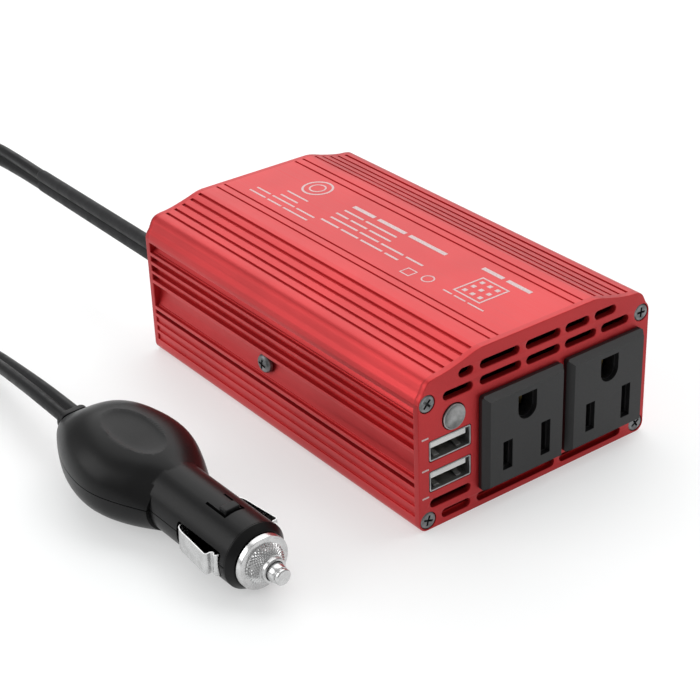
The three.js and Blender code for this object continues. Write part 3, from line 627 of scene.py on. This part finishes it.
# ------------------------------------------------------------------ the lead and its sleeve
ROUTE = [
    (9, 205.4, 25), (9, 220, 25), (9, 236, 24.4), (9.2, 256, 21.4), (10.2, 278, 15.8),
    (12.3, 299, 9.6), (15.7, 316, 5.4), (19, 331.5, 3.9), (20.5, 346, 3.8), (17.6, 360.5, 3.8),
    (9.4, 372.9, 3.8), (-3, 381.1, 3.8), (-17.5, 384, 3.8), (-32, 381.1, 3.8),
    (-44.4, 372.9, 3.8), (-52.6, 360.5, 3.8), (-55.5, 346, 3.8), (-54.2, 331.5, 3.8),
    (-52.3, 312, 3.8), (-50.7, 282, 3.8), (-49, 246, 3.8), (-47.2, 212, 3.8), (-46, 186, 4),
    (-45.4, 168, 4.8), (-45.2, 150, 6.2), (-45.5, 134, 7.9), (-46.2, 121.5, 9.6),
    (-47, 109, 11.2), (-47.55, 98, 12.15), (-47.7, 87.65, 12.4),
]
LEAD_IN_SLEEVE, LEAD_IN_PLUG = 3.0, 5.0  # how far the lead goes on inside its sleeve and the plug
LEAD_TUBE = 3.7  # radius of the round tube that stands for the lead in the route
RING_STEP = 2.6  # distance between the lead's rings
LYING_Z = 4.0  # below this height the lead lies down fully, and from twice it not at all
FLOOR_CLEAR = 0.08  # space under the lead where it lies
LOBE, LOBE_OFF = 1.78, 1.72  # radius of a conductor's jacket, and its distance from the middle
SLEEVE_LOBE, SLEEVE_OFF = 2.075, 1.8  # the same for the sleeve
SLEEVE_INSIDE = 8  # how far the sleeve goes on inside the rear panel
# How the flat lead turns about its own line: distance from the sleeve, degrees from lying flat.
TWIST = [
    (0, 90), (12, 85), (24, 76), (50, 50), (90, 18), (130, 3), (160, 0), (370, 0), (430, 12),
    (473, 15), (500, 8), (523, 1),
]


def twin_ring(lobe, off, steps=16):
    """A figure-of-eight outline, long way along its first coordinate."""
    waist = math.degrees(math.acos(off / lobe))
    right = arc(off, 0, lobe, waist - 180, 180 - waist, steps)
    return [*right, *[(-a, -b) for a, b in right]]


def webbed_ring(lobe, off, web=0.3):
    """The same outline with a small rib along the bottom of each groove."""
    waist = math.degrees(math.acos((off - web) / lobe))
    right = [*arc(off, 0, lobe, waist - 180, 180 - waist, 14), (web * 0.4, lobe * 0.5)]
    return [*right, *[(-a, -b) for a, b in right]]


def lead_shape():
    """The rings of the lead and its middle line: where it lies, it rests on the floor."""
    line = evenly(spline(ROUTE, 16), RING_STEP)
    rings, middle, run = [], [], 0.0
    for i, point in enumerate(line):
        run += (point - line[i - 1]).length if i else 0
        ahead = (line[min(i + 1, len(line) - 1)] - line[max(i - 1, 0)]).normalized()
        side = ahead.cross(Vector((0, 0, 1))).normalized()
        over = side.cross(ahead)
        angle = math.radians(read_table(TWIST, run))
        wide = side * math.cos(angle) + over * math.sin(angle)
        thin = over * math.cos(angle) - side * math.sin(angle)
        half = LOBE + LOBE_OFF * abs(math.sin(angle))
        lying = 1 - smoothstep((point.z - LYING_Z) / LYING_Z)
        centre = point - Vector((0, 0, (LEAD_TUBE - half) * lying))
        centre.z = max(centre.z, half + FLOOR_CLEAR)
        middle.append(centre)
        rings.append([centre + wide * a + thin * b for a, b in webbed_ring(LOBE, LOBE_OFF)])
    rings.insert(0, [p - Vector((0, LEAD_IN_SLEEVE, 0)) for p in rings[0]])
    inward = (PLUG_TIP - PLUG_TAIL).normalized() * LEAD_IN_PLUG
    rings.append([p + inward for p in rings[-1]])
    return loft(rings), middle


def sleeve_shape():
    """A figure-eight tube that draws in a little at its free end."""
    y0, y1 = REAR - SLEEVE_INSIDE, LENGTH + EXIT["sleeve"]
    places = [
        (y0, 1.0), (LENGTH + 4, 1.0), (y1 - 1.4, 0.957),
        (y1 - 0.7, 0.945), (y1 - 0.25, 0.915), (y1, 0.86),
    ]
    ring = twin_ring(SLEEVE_LOBE, SLEEVE_OFF)
    return loft([[(EXIT["x"] + b * k, y, EXIT["z"] + a * k) for a, b in ring] for y, k in places])


def add_lead():
    mesh, middle = lead_shape()
    cord = piece("lead", mesh, LEAD_RUBBER, stands_for=["cord"], sharp=60)
    piece("lead_sleeve", sleeve_shape(), SLEEVE_RUBBER,
          stands_for=["cord_sleeve"], sharp=60)
    return cord, [CASE @ p for p in middle]


# ------------------------------------------------------------------ case pieces
VENT_H = 2.4
VENTS = [
    (12.7, 17.3, 41), (19.5, 32.3, 41), (34.4, 46, 41), (47.7, 55.9, 41), (57.8, 65.2, 41),
    (7.8, 17.2, 36.5), (19.5, 32.9, 36.5), (34.7, 45.9, 36.5), (47.7, 58.4, 36.5),
    (60.3, 69.9, 36.5), (3.5, 16.5, 7.35), (7.15, 16.4, 2.9), (18.6, 45, 2.9), (46.9, 68.8, 2.9),
]
FAN = {"x": 41.0, "z": 22.6, "rings": (7, 11.4, 15.8), "slot": 2.6, "spokes": 4, "spoke": 2.0}


def add_shells():
    y0, y1 = PANEL - PANEL_EDGE, REAR + PANEL_EDGE  # they fill the soft edge on the panels' inner side
    upper = prism(rounded(upper_section(), RIB_EDGE), y0, y1)
    lower = prism(rounded(lower_section(), RIB_EDGE), y0, y1)
    piece("case_upper", upper, RED_LINES, stands_for=["upper_shell"])
    piece("case_lower", lower, RED_LINES, stands_for=["lower_shell"])


def screw_holes():
    return [circle(x, z, 2.42, 40) for x, z in PANEL_SCREWS]


def add_front_panel():
    holes = [rounded_rect((x0 + x1) / 2, z, x1 - x0, VENT_H, VENT_H / 2 - 0.01, 8) for x0, x1, z in VENTS]
    holes += [rounded_rect(x, OUTLET_Z, 23.4, 23.8, 0.5) for x in OUTLET_XS]
    holes += [rounded_rect(USB_X, z, USB_W + 0.3, USB_H + 0.3, 0.5) for z in USB_ZS]
    holes += [circle(BUTTON["x"], BUTTON["z"], BUTTON["r"] + 0.15), *screw_holes()]
    mesh = plate(panel_outline(), holes, 0, PANEL)
    piece("panel_front", mesh, RED_SHEET_SHADED, stands_for=["front_panel"])


def grille_slots():
    slots, step = [], 360 / FAN["spokes"]
    for r in FAN["rings"]:
        inner, outer = r - FAN["slot"] / 2, r + FAN["slot"] / 2
        half = math.degrees(FAN["spoke"] / 2 / r)
        for i in range(FAN["spokes"]):
            start, end = 45 + i * step + half, 45 + (i + 1) * step - half
            loop = [
                *arc(FAN["x"], FAN["z"], outer, start, end, 14),
                *reversed(arc(FAN["x"], FAN["z"], inner, start, end, 14)),
            ]
            slots.append(rounded(loop, 0.8, steps=3))
    return slots


def add_rear_panel():
    holes = [*grille_slots(), rounded_rect(EXIT["x"], EXIT["z"], 6.4, 10.4, 3.1, 8), *screw_holes()]
    mesh = plate(panel_outline(), holes, REAR, LENGTH)
    piece("panel_rear", mesh, RED_SHEET_SHADED, stands_for=["rear_panel"])


def cross_cutters(length, width, depth):
    """Two tapered slots that make a cross recess in a face at y = 0."""
    def slot(w, h):
        wide = [(-w, -h), (w, -h), (w, h), (-w, h)]
        return loft([[(a * k, y, b * k) for a, b in wide] for y, k in ((-0.6, 1.12), (depth, 0.8))])
    return [slot(length / 2, width / 2), slot(width / 2, length / 2)]


def countersunk_screw():
    profile = [(0, 0.1), (2.05, 0.06), (2.3, 0.24), (2.3, 0.4), (0.9, 1.5), (0.9, 8.5), (0, 9.2)]
    return combined(lathe(profile, 40), cross_cutters(2.9, 0.62, 1.0))


def pan_screw():
    head = round_corners([(1.4, 0.02, 0), (2.3, 0.3, 0), (2.75, 0.95, 0), (2.75, 1.7, 0)], 0.4, closed=False)
    profile = [(0, 0), *flat(head), (1.4, 1.7), (1.4, 9), (0, 9.8)]
    return combined(lathe(profile, 48), cross_cutters(3.1, 0.7, 1.1))


def add_screws():
    flush, pan = countersunk_screw(), pan_screw()
    turns = (18, -31, 44, 5)
    for i, (x, z) in enumerate(PANEL_SCREWS):
        twist = Matrix.Rotation(math.radians(turns[i]), 4, "Y")
        front = CASE @ Matrix.Translation((x, 0, z)) @ twist
        back = CASE @ Matrix.Translation((x, LENGTH, z)) @ Matrix.Rotation(math.pi, 4, "Z") @ twist
        for end, place in (("front", front), ("rear", back)):
            piece(f"screw_{end}_{i + 1}", flush, STEEL, place,
                  stands_for=[f"{end}_screw_{i + 1}"])
    sides = (("left", -90, SIDE_SCREW["face"]), ("right", 90, WIDTH - SIDE_SCREW["face"]))
    for side, angle, x in sides:
        spin = Matrix.Rotation(math.radians(angle), 4, "Z") @ Matrix.Rotation(math.radians(12), 4, "Y")
        place = CASE @ Matrix.Translation((x, SIDE_SCREW["y"], SIDE_SCREW["z"])) @ spin
        piece(f"screw_side_{side}", pan, STEEL, place, stands_for=[f"side_screw_{side}"])


def add_outlets():
    for i in (1, 2):
        kept(f"outlet_{i}", OUTLET_BLACK, 0.22)
        for clip in ("hot", "neutral", "ground"):
            kept(f"outlet_{i}_{clip}", BRASS_SHADED, 0.08)


SPRING_LINE = [(1.2, 0.02), (3.0, 0.5), (4.6, 0.62), (7.5, 0.05)]  # y, and height off the shell
SPRING_HALF, SPRING_T = 0.8, 0.2  # half the width of a port's spring, and its thickness


def add_usb_ports():
    for i, z in enumerate(USB_ZS, 1):
        kept(f"usb_port_{i}", SHELL_STEEL, 0.08)
        tongue = bevelled(block(USB_X - 5.6, USB_X + 5.6, 0.9, 13.3, z + 0.35, z + 2.15), 0.15)
        piece(f"port_tongue_{i}", tongue, WHITE, stands_for=[f"usb_tongue_{i}"])
        strips = [
            bevelled(block(x - 0.5, x + 0.5, 1.6, 11, z + 0.12, z + 0.34), 0.05)
            for x in (USB_X - 3.5, USB_X - 1, USB_X + 1, USB_X + 3.5)
        ]
        piece(f"port_strips_{i}", merged(strips), BRASS_SHADED)
        springs = []
        for x in (USB_X - 3.6, USB_X + 3.6):
            low = z - USB_H / 2 + 0.37
            rings = [
                [(x - SPRING_HALF, y, low + up), (x + SPRING_HALF, y, low + up),
                 (x + SPRING_HALF, y, low + up + SPRING_T), (x - SPRING_HALF, y, low + up + SPRING_T)]
                for y, up in SPRING_LINE
            ]
            springs.append(bevelled(loft(rings), 0.05))
        piece(f"port_springs_{i}", merged(springs), SHELL_STEEL)


def add_button():
    r, out = BUTTON["r"], BUTTON["out"]
    face = [(0, 0.55, 0), (1.2, 0.47, 0), (2.2, 0.2, 0), (3.0, -out * 0.55, 0), (3.16, -out, 0),
            (3.36, -out, 0), (r, -out + 0.14, 0), (r, 4.2, 0)]
    profile = [*flat(round_corners(face, 0.2, closed=False, steps=4)), (1.5, 4.2), (1.5, 6.2), (0, 6.2)]
    mesh = lathe(profile, 64, BUTTON["x"], BUTTON["z"])
    piece("button_cap", mesh, SILVER, body="button", stands_for=["power_button"])


# ------------------------------------------------------------------ print on the top
def add_print():
    """Plain bars and simple outlines where the real case has its print."""
    z0, z1 = HEIGHT - 0.01, HEIGHT + 0.03

    def bar(x0, x1, y0, y1):
        return prism([(x0, z0), (x1, z0), (x1, z1), (x0, z1)], y0, y1)

    def line(x0, x1, y0, lengths, space):
        """Bars of these lengths one behind the other, which fill a line of print."""
        bars, y = [], y0
        for length in lengths:
            bars.append(bar(x0, x1, y, y + length))
            y += length + space
        return bars

    def ring(cx, cy, outer, inner, sides=48):
        turns = [math.tau * k / sides for k in range(sides)]
        corners = [(outer, z0), (outer, z1), (inner, z1), (inner, z0), (outer, z0)]
        rows = [[(cx + r * math.cos(a), cy + r * math.sin(a), z) for a in turns] for r, z in corners]
        return loft(rows, capped=False)

    def frame_box(x0, x1, y0, y1, t):
        return [bar(x0, x1, y0, y0 + t), bar(x0, x1, y1 - t, y1), bar(x0, x0 + t, y0 + t, y1 - t),
                bar(x1 - t, x1, y0 + t, y1 - t)]

    bars = [
        *line(44.95, 46.35, 44, (15.5, 12, 9.6), 1.7),
        *line(41.9, 42.6, 61, (13.5, 8.6), 1.2),
        *line(39.1, 39.8, 60, (9.4, 7.2, 5.5), 1.2),
        *line(36.4, 37.1, 43, (7, 9.5, 8.2, 12.2), 1.2),
        *line(33.6, 34.3, 50, (5.6, 9.4, 7.6, 8.0), 1.2),
        *line(32.5, 33.1, 86, (8.4, 10.6, 6.6), 1.1),
        *line(30.0, 30.6, 86, (11.4, 6.6, 7.8), 1.1),
        *line(34.75, 35.35, 97, (8.2,), 1),
        *line(37.6, 38.2, 96, (10,), 1),
        *line(47.1, 48.5, 13, (9, 8), 1.6),
        *line(31.9, 32.4, 13.5, (6, 4.4, 3.4), 0.9),
    ]
    shapes = [
        ring(45.5, 101.6, 4.75, 4.1), ring(45.5, 101.6, 2.6, 2.1), ring(33, 36.3, 1.9, 1.5),
        *frame_box(30, 33.4, 40.8, 44.6, 0.35), *frame_box(34, 44.4, 17.2, 27.6, 0.5),
    ]
    dots = [bar(x, x + 1.3, y, y + 1.3) for x in (35.6, 38.55, 41.5) for y in (18.8, 21.75, 24.7)]
    piece("top_print", merged([*bars, *shapes, *dots]), INK)
    marks = [block(1.0, 3.1, -0.03, 0.01, z, z + 0.45) for z in (26.6, 17.6, 9.6)]
    piece("panel_print", merged(marks), INK)


# ------------------------------------------------------------------ inside the case
def add_insides():
    for node in ("main_board", "port_board"):
        kept(node, BOARD, 0.1)
    for side in ("left", "right"):
        kept(f"heat_bar_{side}", ALUMINIUM, 0.2)
        for i in (1, 2):
            kept(f"transistor_{side}_{i}", INNER_BLACK, 0.15)
    kept("transformer_core", FERRITE, 0.3)
    kept("transformer_winding", TAPE, 0.3)
    for i in (1, 2, 3):
        kept(f"capacitor_{i}", INNER_BLACK, 0.15)
    kept("button_switch", INNER_BLACK, 0.2)
    kept("fan_frame", INNER_BLACK, 0.3)
    kept("fan_rotor", INNER_BLACK, 0.2)
    kept("cord_gland", SLEEVE_RUBBER, 0.35)


# ------------------------------------------------------------------ lighter plug
def plug_place():
    """From the plug's own millimetres (tip at the origin, axis along +Y) to the row's metres."""
    along = (PLUG_TAIL - PLUG_TIP).normalized()
    across = along.cross(Vector((0, 0, 1))).normalized()
    up = across.cross(along)
    turn = Matrix((across, along, up)).transposed().to_4x4()
    return CASE @ Matrix.Translation(PLUG_TIP) @ turn


PLUG = plug_place()
GRIP_W = [(0, 5.4), (1.4, 6.8), (4.7, 9.2), (9.5, 11.8), (15, 14.1), (21.3, 15.7), (27.4, 16.2),
          (33, 15.4), (38.6, 13.4), (43, 11.4), (46.1, 9.9)]
GRIP_H = [(0, 2.8), (1.4, 3.8), (4.7, 6.2), (9.5, 9.0), (15, 10.7), (21.3, 11.2), (27.4, 11.1),
          (33, 10.7), (38.6, 10.2), (43, 9.5), (46.1, 8.9)]
# Exponent of the upper half's cross-section, 2 is an ellipse: it draws in to a ridge at the barrel.
FULL_ABOVE = [(0, 2.9), (15, 2.5), (30, 2.4), (38.6, 2.05), (43, 1.75), (46.1, 1.55)]
FULL_BELOW = [(0, 2.5), (33, 2.5), (41, 2.3), (46.1, 2.0)]
SPLIT, PARTING = 0.6, 0.12  # height of the seam between the halves, and half the gap in it
WINDOW = {"y0": 13.2, "y1": 30.3, "half": 3.5}
TAB = {"y0": 18.9, "y1": 24.0, "half": 2.3, "slit": 0.7}
DISH = {"x": 0.0, "y": GRIP_END - 27.5, "half_w": 6.0, "half_l": 11.6}


def grip_section(s):
    """Half width, half height and the exponents above and below, s from the grip's end."""
    return [read_table(table, s) for table in (GRIP_W, GRIP_H, FULL_ABOVE, FULL_BELOW)]


def grip_shape(sides=96, rows=52):
    rings = []
    for i in range(rows + 1):
        s = GRIP_W[-1][0] * (i / rows) ** 1.1
        w, h, above, below = grip_section(s)
        ring = []
        for j in range(sides):
            a = math.tau * (j + 0.5) / sides
            full = above if math.sin(a) > 0 else below
            across = math.copysign(abs(math.cos(a)) ** (2 / full), math.cos(a))
            upward = math.copysign(abs(math.sin(a)) ** (2 / full), math.sin(a))
            ring.append((w * across, GRIP_END - s, h * upward))
        rings.append(ring)
    return loft(rings)


def grip_top(x, y):
    w, h, above, _ = grip_section(GRIP_END - y)
    return h * (1 - min(abs(x / w), 1) ** above) ** (1 / above)


def dish_cutter():
    """An oval hollow that follows the grip's top, with a crisp rim."""
    depths = ((0.02, 0.95), (0.3, 0.93), (0.55, 0.85), (0.75, 0.68), (0.9, 0.38), (1.0, 0.0),
              (1.05, -0.4), (1.06, -3))
    rings = []
    for k, depth in depths:
        ring = []
        for a in (math.tau * j / 72 for j in range(72)):
            x = DISH["x"] + DISH["half_w"] * k * math.cos(a)
            y = DISH["y"] + DISH["half_l"] * k * math.sin(a)
            ring.append((x, y, grip_top(x, y) - depth))
        rings.append(ring)
    return loft(rings)


def window_cutter():
    y0, y1, half = WINDOW["y0"], WINDOW["y1"], WINDOW["half"]
    outline = rounded_rect((y0 + y1) / 2, 0, y1 - y0, 2 * half, 0.8)
    return loft([[(x, y, z) for y, z in outline] for x in (-12, 12)])


def slit_cutters():
    y0, y1, half, slit = TAB["y0"], TAB["y1"], TAB["half"], TAB["slit"]
    return [
        block(-half - slit, -half, y0 - 0.7, y1 + 2, 4, 12),
        block(half, half + slit, y0 - 0.7, y1 + 2, 4, 12),
        block(-half - slit, half + slit, y0 - 0.7, y0, 4, 12),
    ]


def add_plug_body():
    barrel = rod(0, 0, BARREL, 11.55, 46, 96)
    whole = combined(grip_shape(), [barrel], "UNION")
    lead_hole = prism(rounded_rect(0, 0, 7.6, 4.0, 1.9), 75, 100)
    cutters = [rod(0, 0, 6.4, 10, 50, 64), window_cutter(), dish_cutter(), lead_hole]
    whole = combined(whole, cutters)
    upper = combined(whole, [block(-30, 30, 0, 110, SPLIT + PARTING, 30)], "INTERSECT")
    lower = combined(whole, [block(-30, 30, 0, 110, -30, SPLIT - PARTING)], "INTERSECT")
    half, y0 = TAB["half"] - 0.1, TAB["y0"]
    catch = bevelled(block(-half, half, y0 + 0.05, y0 + 2.8, 7.8, 9.55), 0.45, 3)
    upper = combined(upper, slit_cutters())
    upper = combined(upper, [catch], "UNION")
    for side, mesh in (("upper", upper), ("lower", lower)):
        piece(f"plug_half_{side}", bevelled(mesh, 0.16, 2, 42), PLUG_BLACK, PLUG,
              stands_for=[f"plug_{side}"], sharp=40)


def add_plug_nose():
    outline = [(5.9, 9.5), (7.4, 9.5), (7.75, 9.8), (BARREL, 11.2), (BARREL, 11.5), (5.9, 11.5)]
    profile = rounded(outline, 0.16)
    mesh = lathe([*profile, profile[0]], 96)
    piece("plug_nose_ring", mesh, PLUG_BLACK, PLUG, stands_for=["plug_nose"])


def add_plug_cap(teeth=34):
    """Screw cap: collar, cone with a diamond knurl, flange and the sleeve that goes into the nose."""
    knurl = [(3.75, 4.75), (4.1, 5.02), (4.42, 5.32), (4.72, 5.65), (4.98, 6.0), (5.2, 6.38),
             (5.36, 6.78), (5.45, 7.2)]
    front = [(2.6, 3.5), (2.7, 3.4), (3.15, 3.4), (3.32, 3.56), (3.32, 4.6), (3.6, 4.68)]
    back = [(5.45, 7.4), (6.9, 7.4), (7.12, 7.5), (7.2, 7.72), (7.2, 8.95), (7.0, 9.2), (5.6, 9.2),
            (5.6, 12.4), (4.6, 12.4), (4.6, 8.6), (2.6, 8.6), (2.6, 3.5)]
    rings = []
    for i, (r, y) in enumerate([*front, *knurl, *back]):
        row = i - len(front)
        ring = []
        for k in range(teeth * 4):
            a = math.tau * k / (teeth * 4)
            high = (k + 2 * row) % 4 == 0
            at = r - (0.0 if high or not 0 <= row < len(knurl) else 0.34)
            ring.append((at * math.cos(a), y, at * math.sin(a)))
        rings.append(ring)
    mesh = loft(rings, capped=False)
    piece("plug_screw_cap", mesh, NICKEL, PLUG, "tip_cap", ["plug_cap"], sharp=28)


def add_plug_pin():
    tip = [(1.92, 0, 0), (2.15, 0.22, 0), (2.15, 0.8, 0), (1.75, 1.0, 0), (1.75, 1.2, 0), (2.25, 1.35, 0),
           (2.45, 2.3, 0), (2.45, 8.9, 0)]
    profile = [(0, 0), *flat(round_corners(tip, 0.15, closed=False)), (4, 8.9), (4, 9.9), (0, 9.9)]
    piece("plug_centre_pin", lathe(profile, 48), NICKEL, PLUG, "tip_pin", ["plug_pin"])
    turns, steps, coil, wire = 5, 24, 3.75, 0.28
    line = [
        Vector((coil * math.cos(a), 10.5 + 1.4 * a / math.tau, coil * math.sin(a)))
        for a in (math.tau * k / steps for k in range(turns * steps + 1))
    ]
    rings = []
    for i, point in enumerate(line):
        ahead = (line[min(i + 1, len(line) - 1)] - line[max(i - 1, 0)]).normalized()
        out = Vector((point.x, 0, point.z)).normalized()
        third = ahead.cross(out)
        turn = [math.tau * k / 10 for k in range(10)]
        rings.append([point + (out * math.cos(b) + third * math.sin(b)) * wire for b in turn])
    piece("plug_coil", loft(rings), NICKEL, PLUG, "tip_pin", ["plug_spring"])


def add_plug_contacts():
    """Strips that flare forward, with the front end folded in and the back one anchored."""
    middle = [(7.0, 14.05, 0), (8.3, 13.85, 0), (9.15, 14.1, 0), (9.35, 14.6, 0), (8.95, 15.1, 0),
              (8.9, 15.55, 0), (9.4, 15.9, 0), (10.4, 15.95, 0), (10.78, 16.35, 0), (10.74, 17.2, 0),
              (10.45, 20, 0), (10.15, 23, 0), (9.6, 27.65, 0), (8.85, 28.95, 0), (5.9, 29.6, 0)]
    line = spline(middle, 6)
    half, sides = 0.17, []
    for sign in (1, -1):
        row = []
        for i, point in enumerate(line):
            ahead = (line[min(i + 1, len(line) - 1)] - line[max(i - 1, 0)]).normalized()
            row.append(point + Vector((-ahead.y, ahead.x, 0)) * half * sign)
        sides.append(row)
    outline = [*sides[0], *reversed(sides[1])]
    strip = bevelled(loft([[(p.x, p.y, z) for p in outline] for z in (-3, 3)]), 0.06)
    flip = Matrix.Rotation(math.pi, 4, "Y")
    for side, turn in (("right", Matrix.Identity(4)), ("left", flip)):
        piece(f"plug_strip_{side}", strip, NICKEL, PLUG @ turn, f"contact_{side}",
              [f"plug_contact_{side}"])


def add_plug_collar():
    outer, inner = rounded_rect(0, 0, 9.2, 5.2, 2.4, 10), rounded_rect(0, 0, 7.3, 3.85, 1.9, 10)
    mesh = plate(outer, [inner], GRIP_END + 0.75, GRIP_END + 2.6, 0.3)
    piece("plug_collar", mesh, LEAD_RUBBER, PLUG, stands_for=["plug_grommet"])


def add_plug():
    add_plug_body()
    add_plug_nose()
    add_plug_cap()
    add_plug_pin()
    add_plug_contacts()
    add_plug_collar()
    kept("plug_fuse", GLASS, 0.1)


# ------------------------------------------------------------------ floor, light
def add_floor(size=6.0):
    half = size / 2
    mesh = bpy.data.meshes.new("floor")
    corners = [(-half, -half, 0), (half, -half, 0), (half, half, 0), (-half, half, 0)]
    mesh.from_pydata(corners, [], [(0, 1, 2, 3)])
    mesh.materials.append(pale_floor())
    floor = bpy.data.objects.new("floor", mesh)
    bpy.context.scene.collection.objects.link(floor)


def add_area(name, place, target, size, energy):
    data = bpy.data.lights.new(name, "AREA")
    data.shape, data.size, data.size_y = "RECTANGLE", *size
    data.energy = energy
    light = bpy.data.objects.new(name, data)
    light.location = place
    light.rotation_euler = (Vector(target) - Vector(place)).to_track_quat("-Z", "Y").to_euler()
    bpy.context.scene.collection.objects.link(light)


def add_light():
    world = bpy.data.worlds.new("studio")
    world.use_nodes = True
    nodes, link = world.node_tree.nodes, world.node_tree.links.new
    split, ramp = nodes.new("ShaderNodeSeparateXYZ"), nodes.new("ShaderNodeMapRange")
    link(nodes.new("ShaderNodeTexCoord").outputs["Generated"], split.inputs["Vector"])
    link(split.outputs["Z"], ramp.inputs["Value"])
    for socket, value in (("From Min", -0.6), ("From Max", 0.8), ("To Min", 0.18), ("To Max", 0.55)):
        ramp.inputs[socket].default_value = value
    link(ramp.outputs["Result"], nodes["Background"].inputs["Strength"])
    nodes["Background"].inputs["Color"].default_value = (1, 1, 1, 1)
    bpy.context.scene.world = world
    add_area("key", (0.55, 0.5, 0.95), (0, 0.02, 0), (1.7, 1.7), 13.0)
    add_area("left_fill", (-0.95, 0.55, 0.6), (0, 0, 0.02), (0.85, 0.85), 5.5)
    add_area("overhead", (0.45, -0.1, 0.85), (0, -0.05, 0.03), (0.45, 0.45), 1.2)
    view = bpy.context.scene.view_settings
    view.view_transform, view.look, view.exposure = "Standard", "None", 0


# ------------------------------------------------------------------ the whole model
add_camera()
lead, lead_path = add_lead()
add_shells()
add_front_panel()
add_rear_panel()
add_screws()
add_outlets()
add_usb_ports()
add_button()
add_print()
add_insides()
add_plug()
add_floor()
add_light()
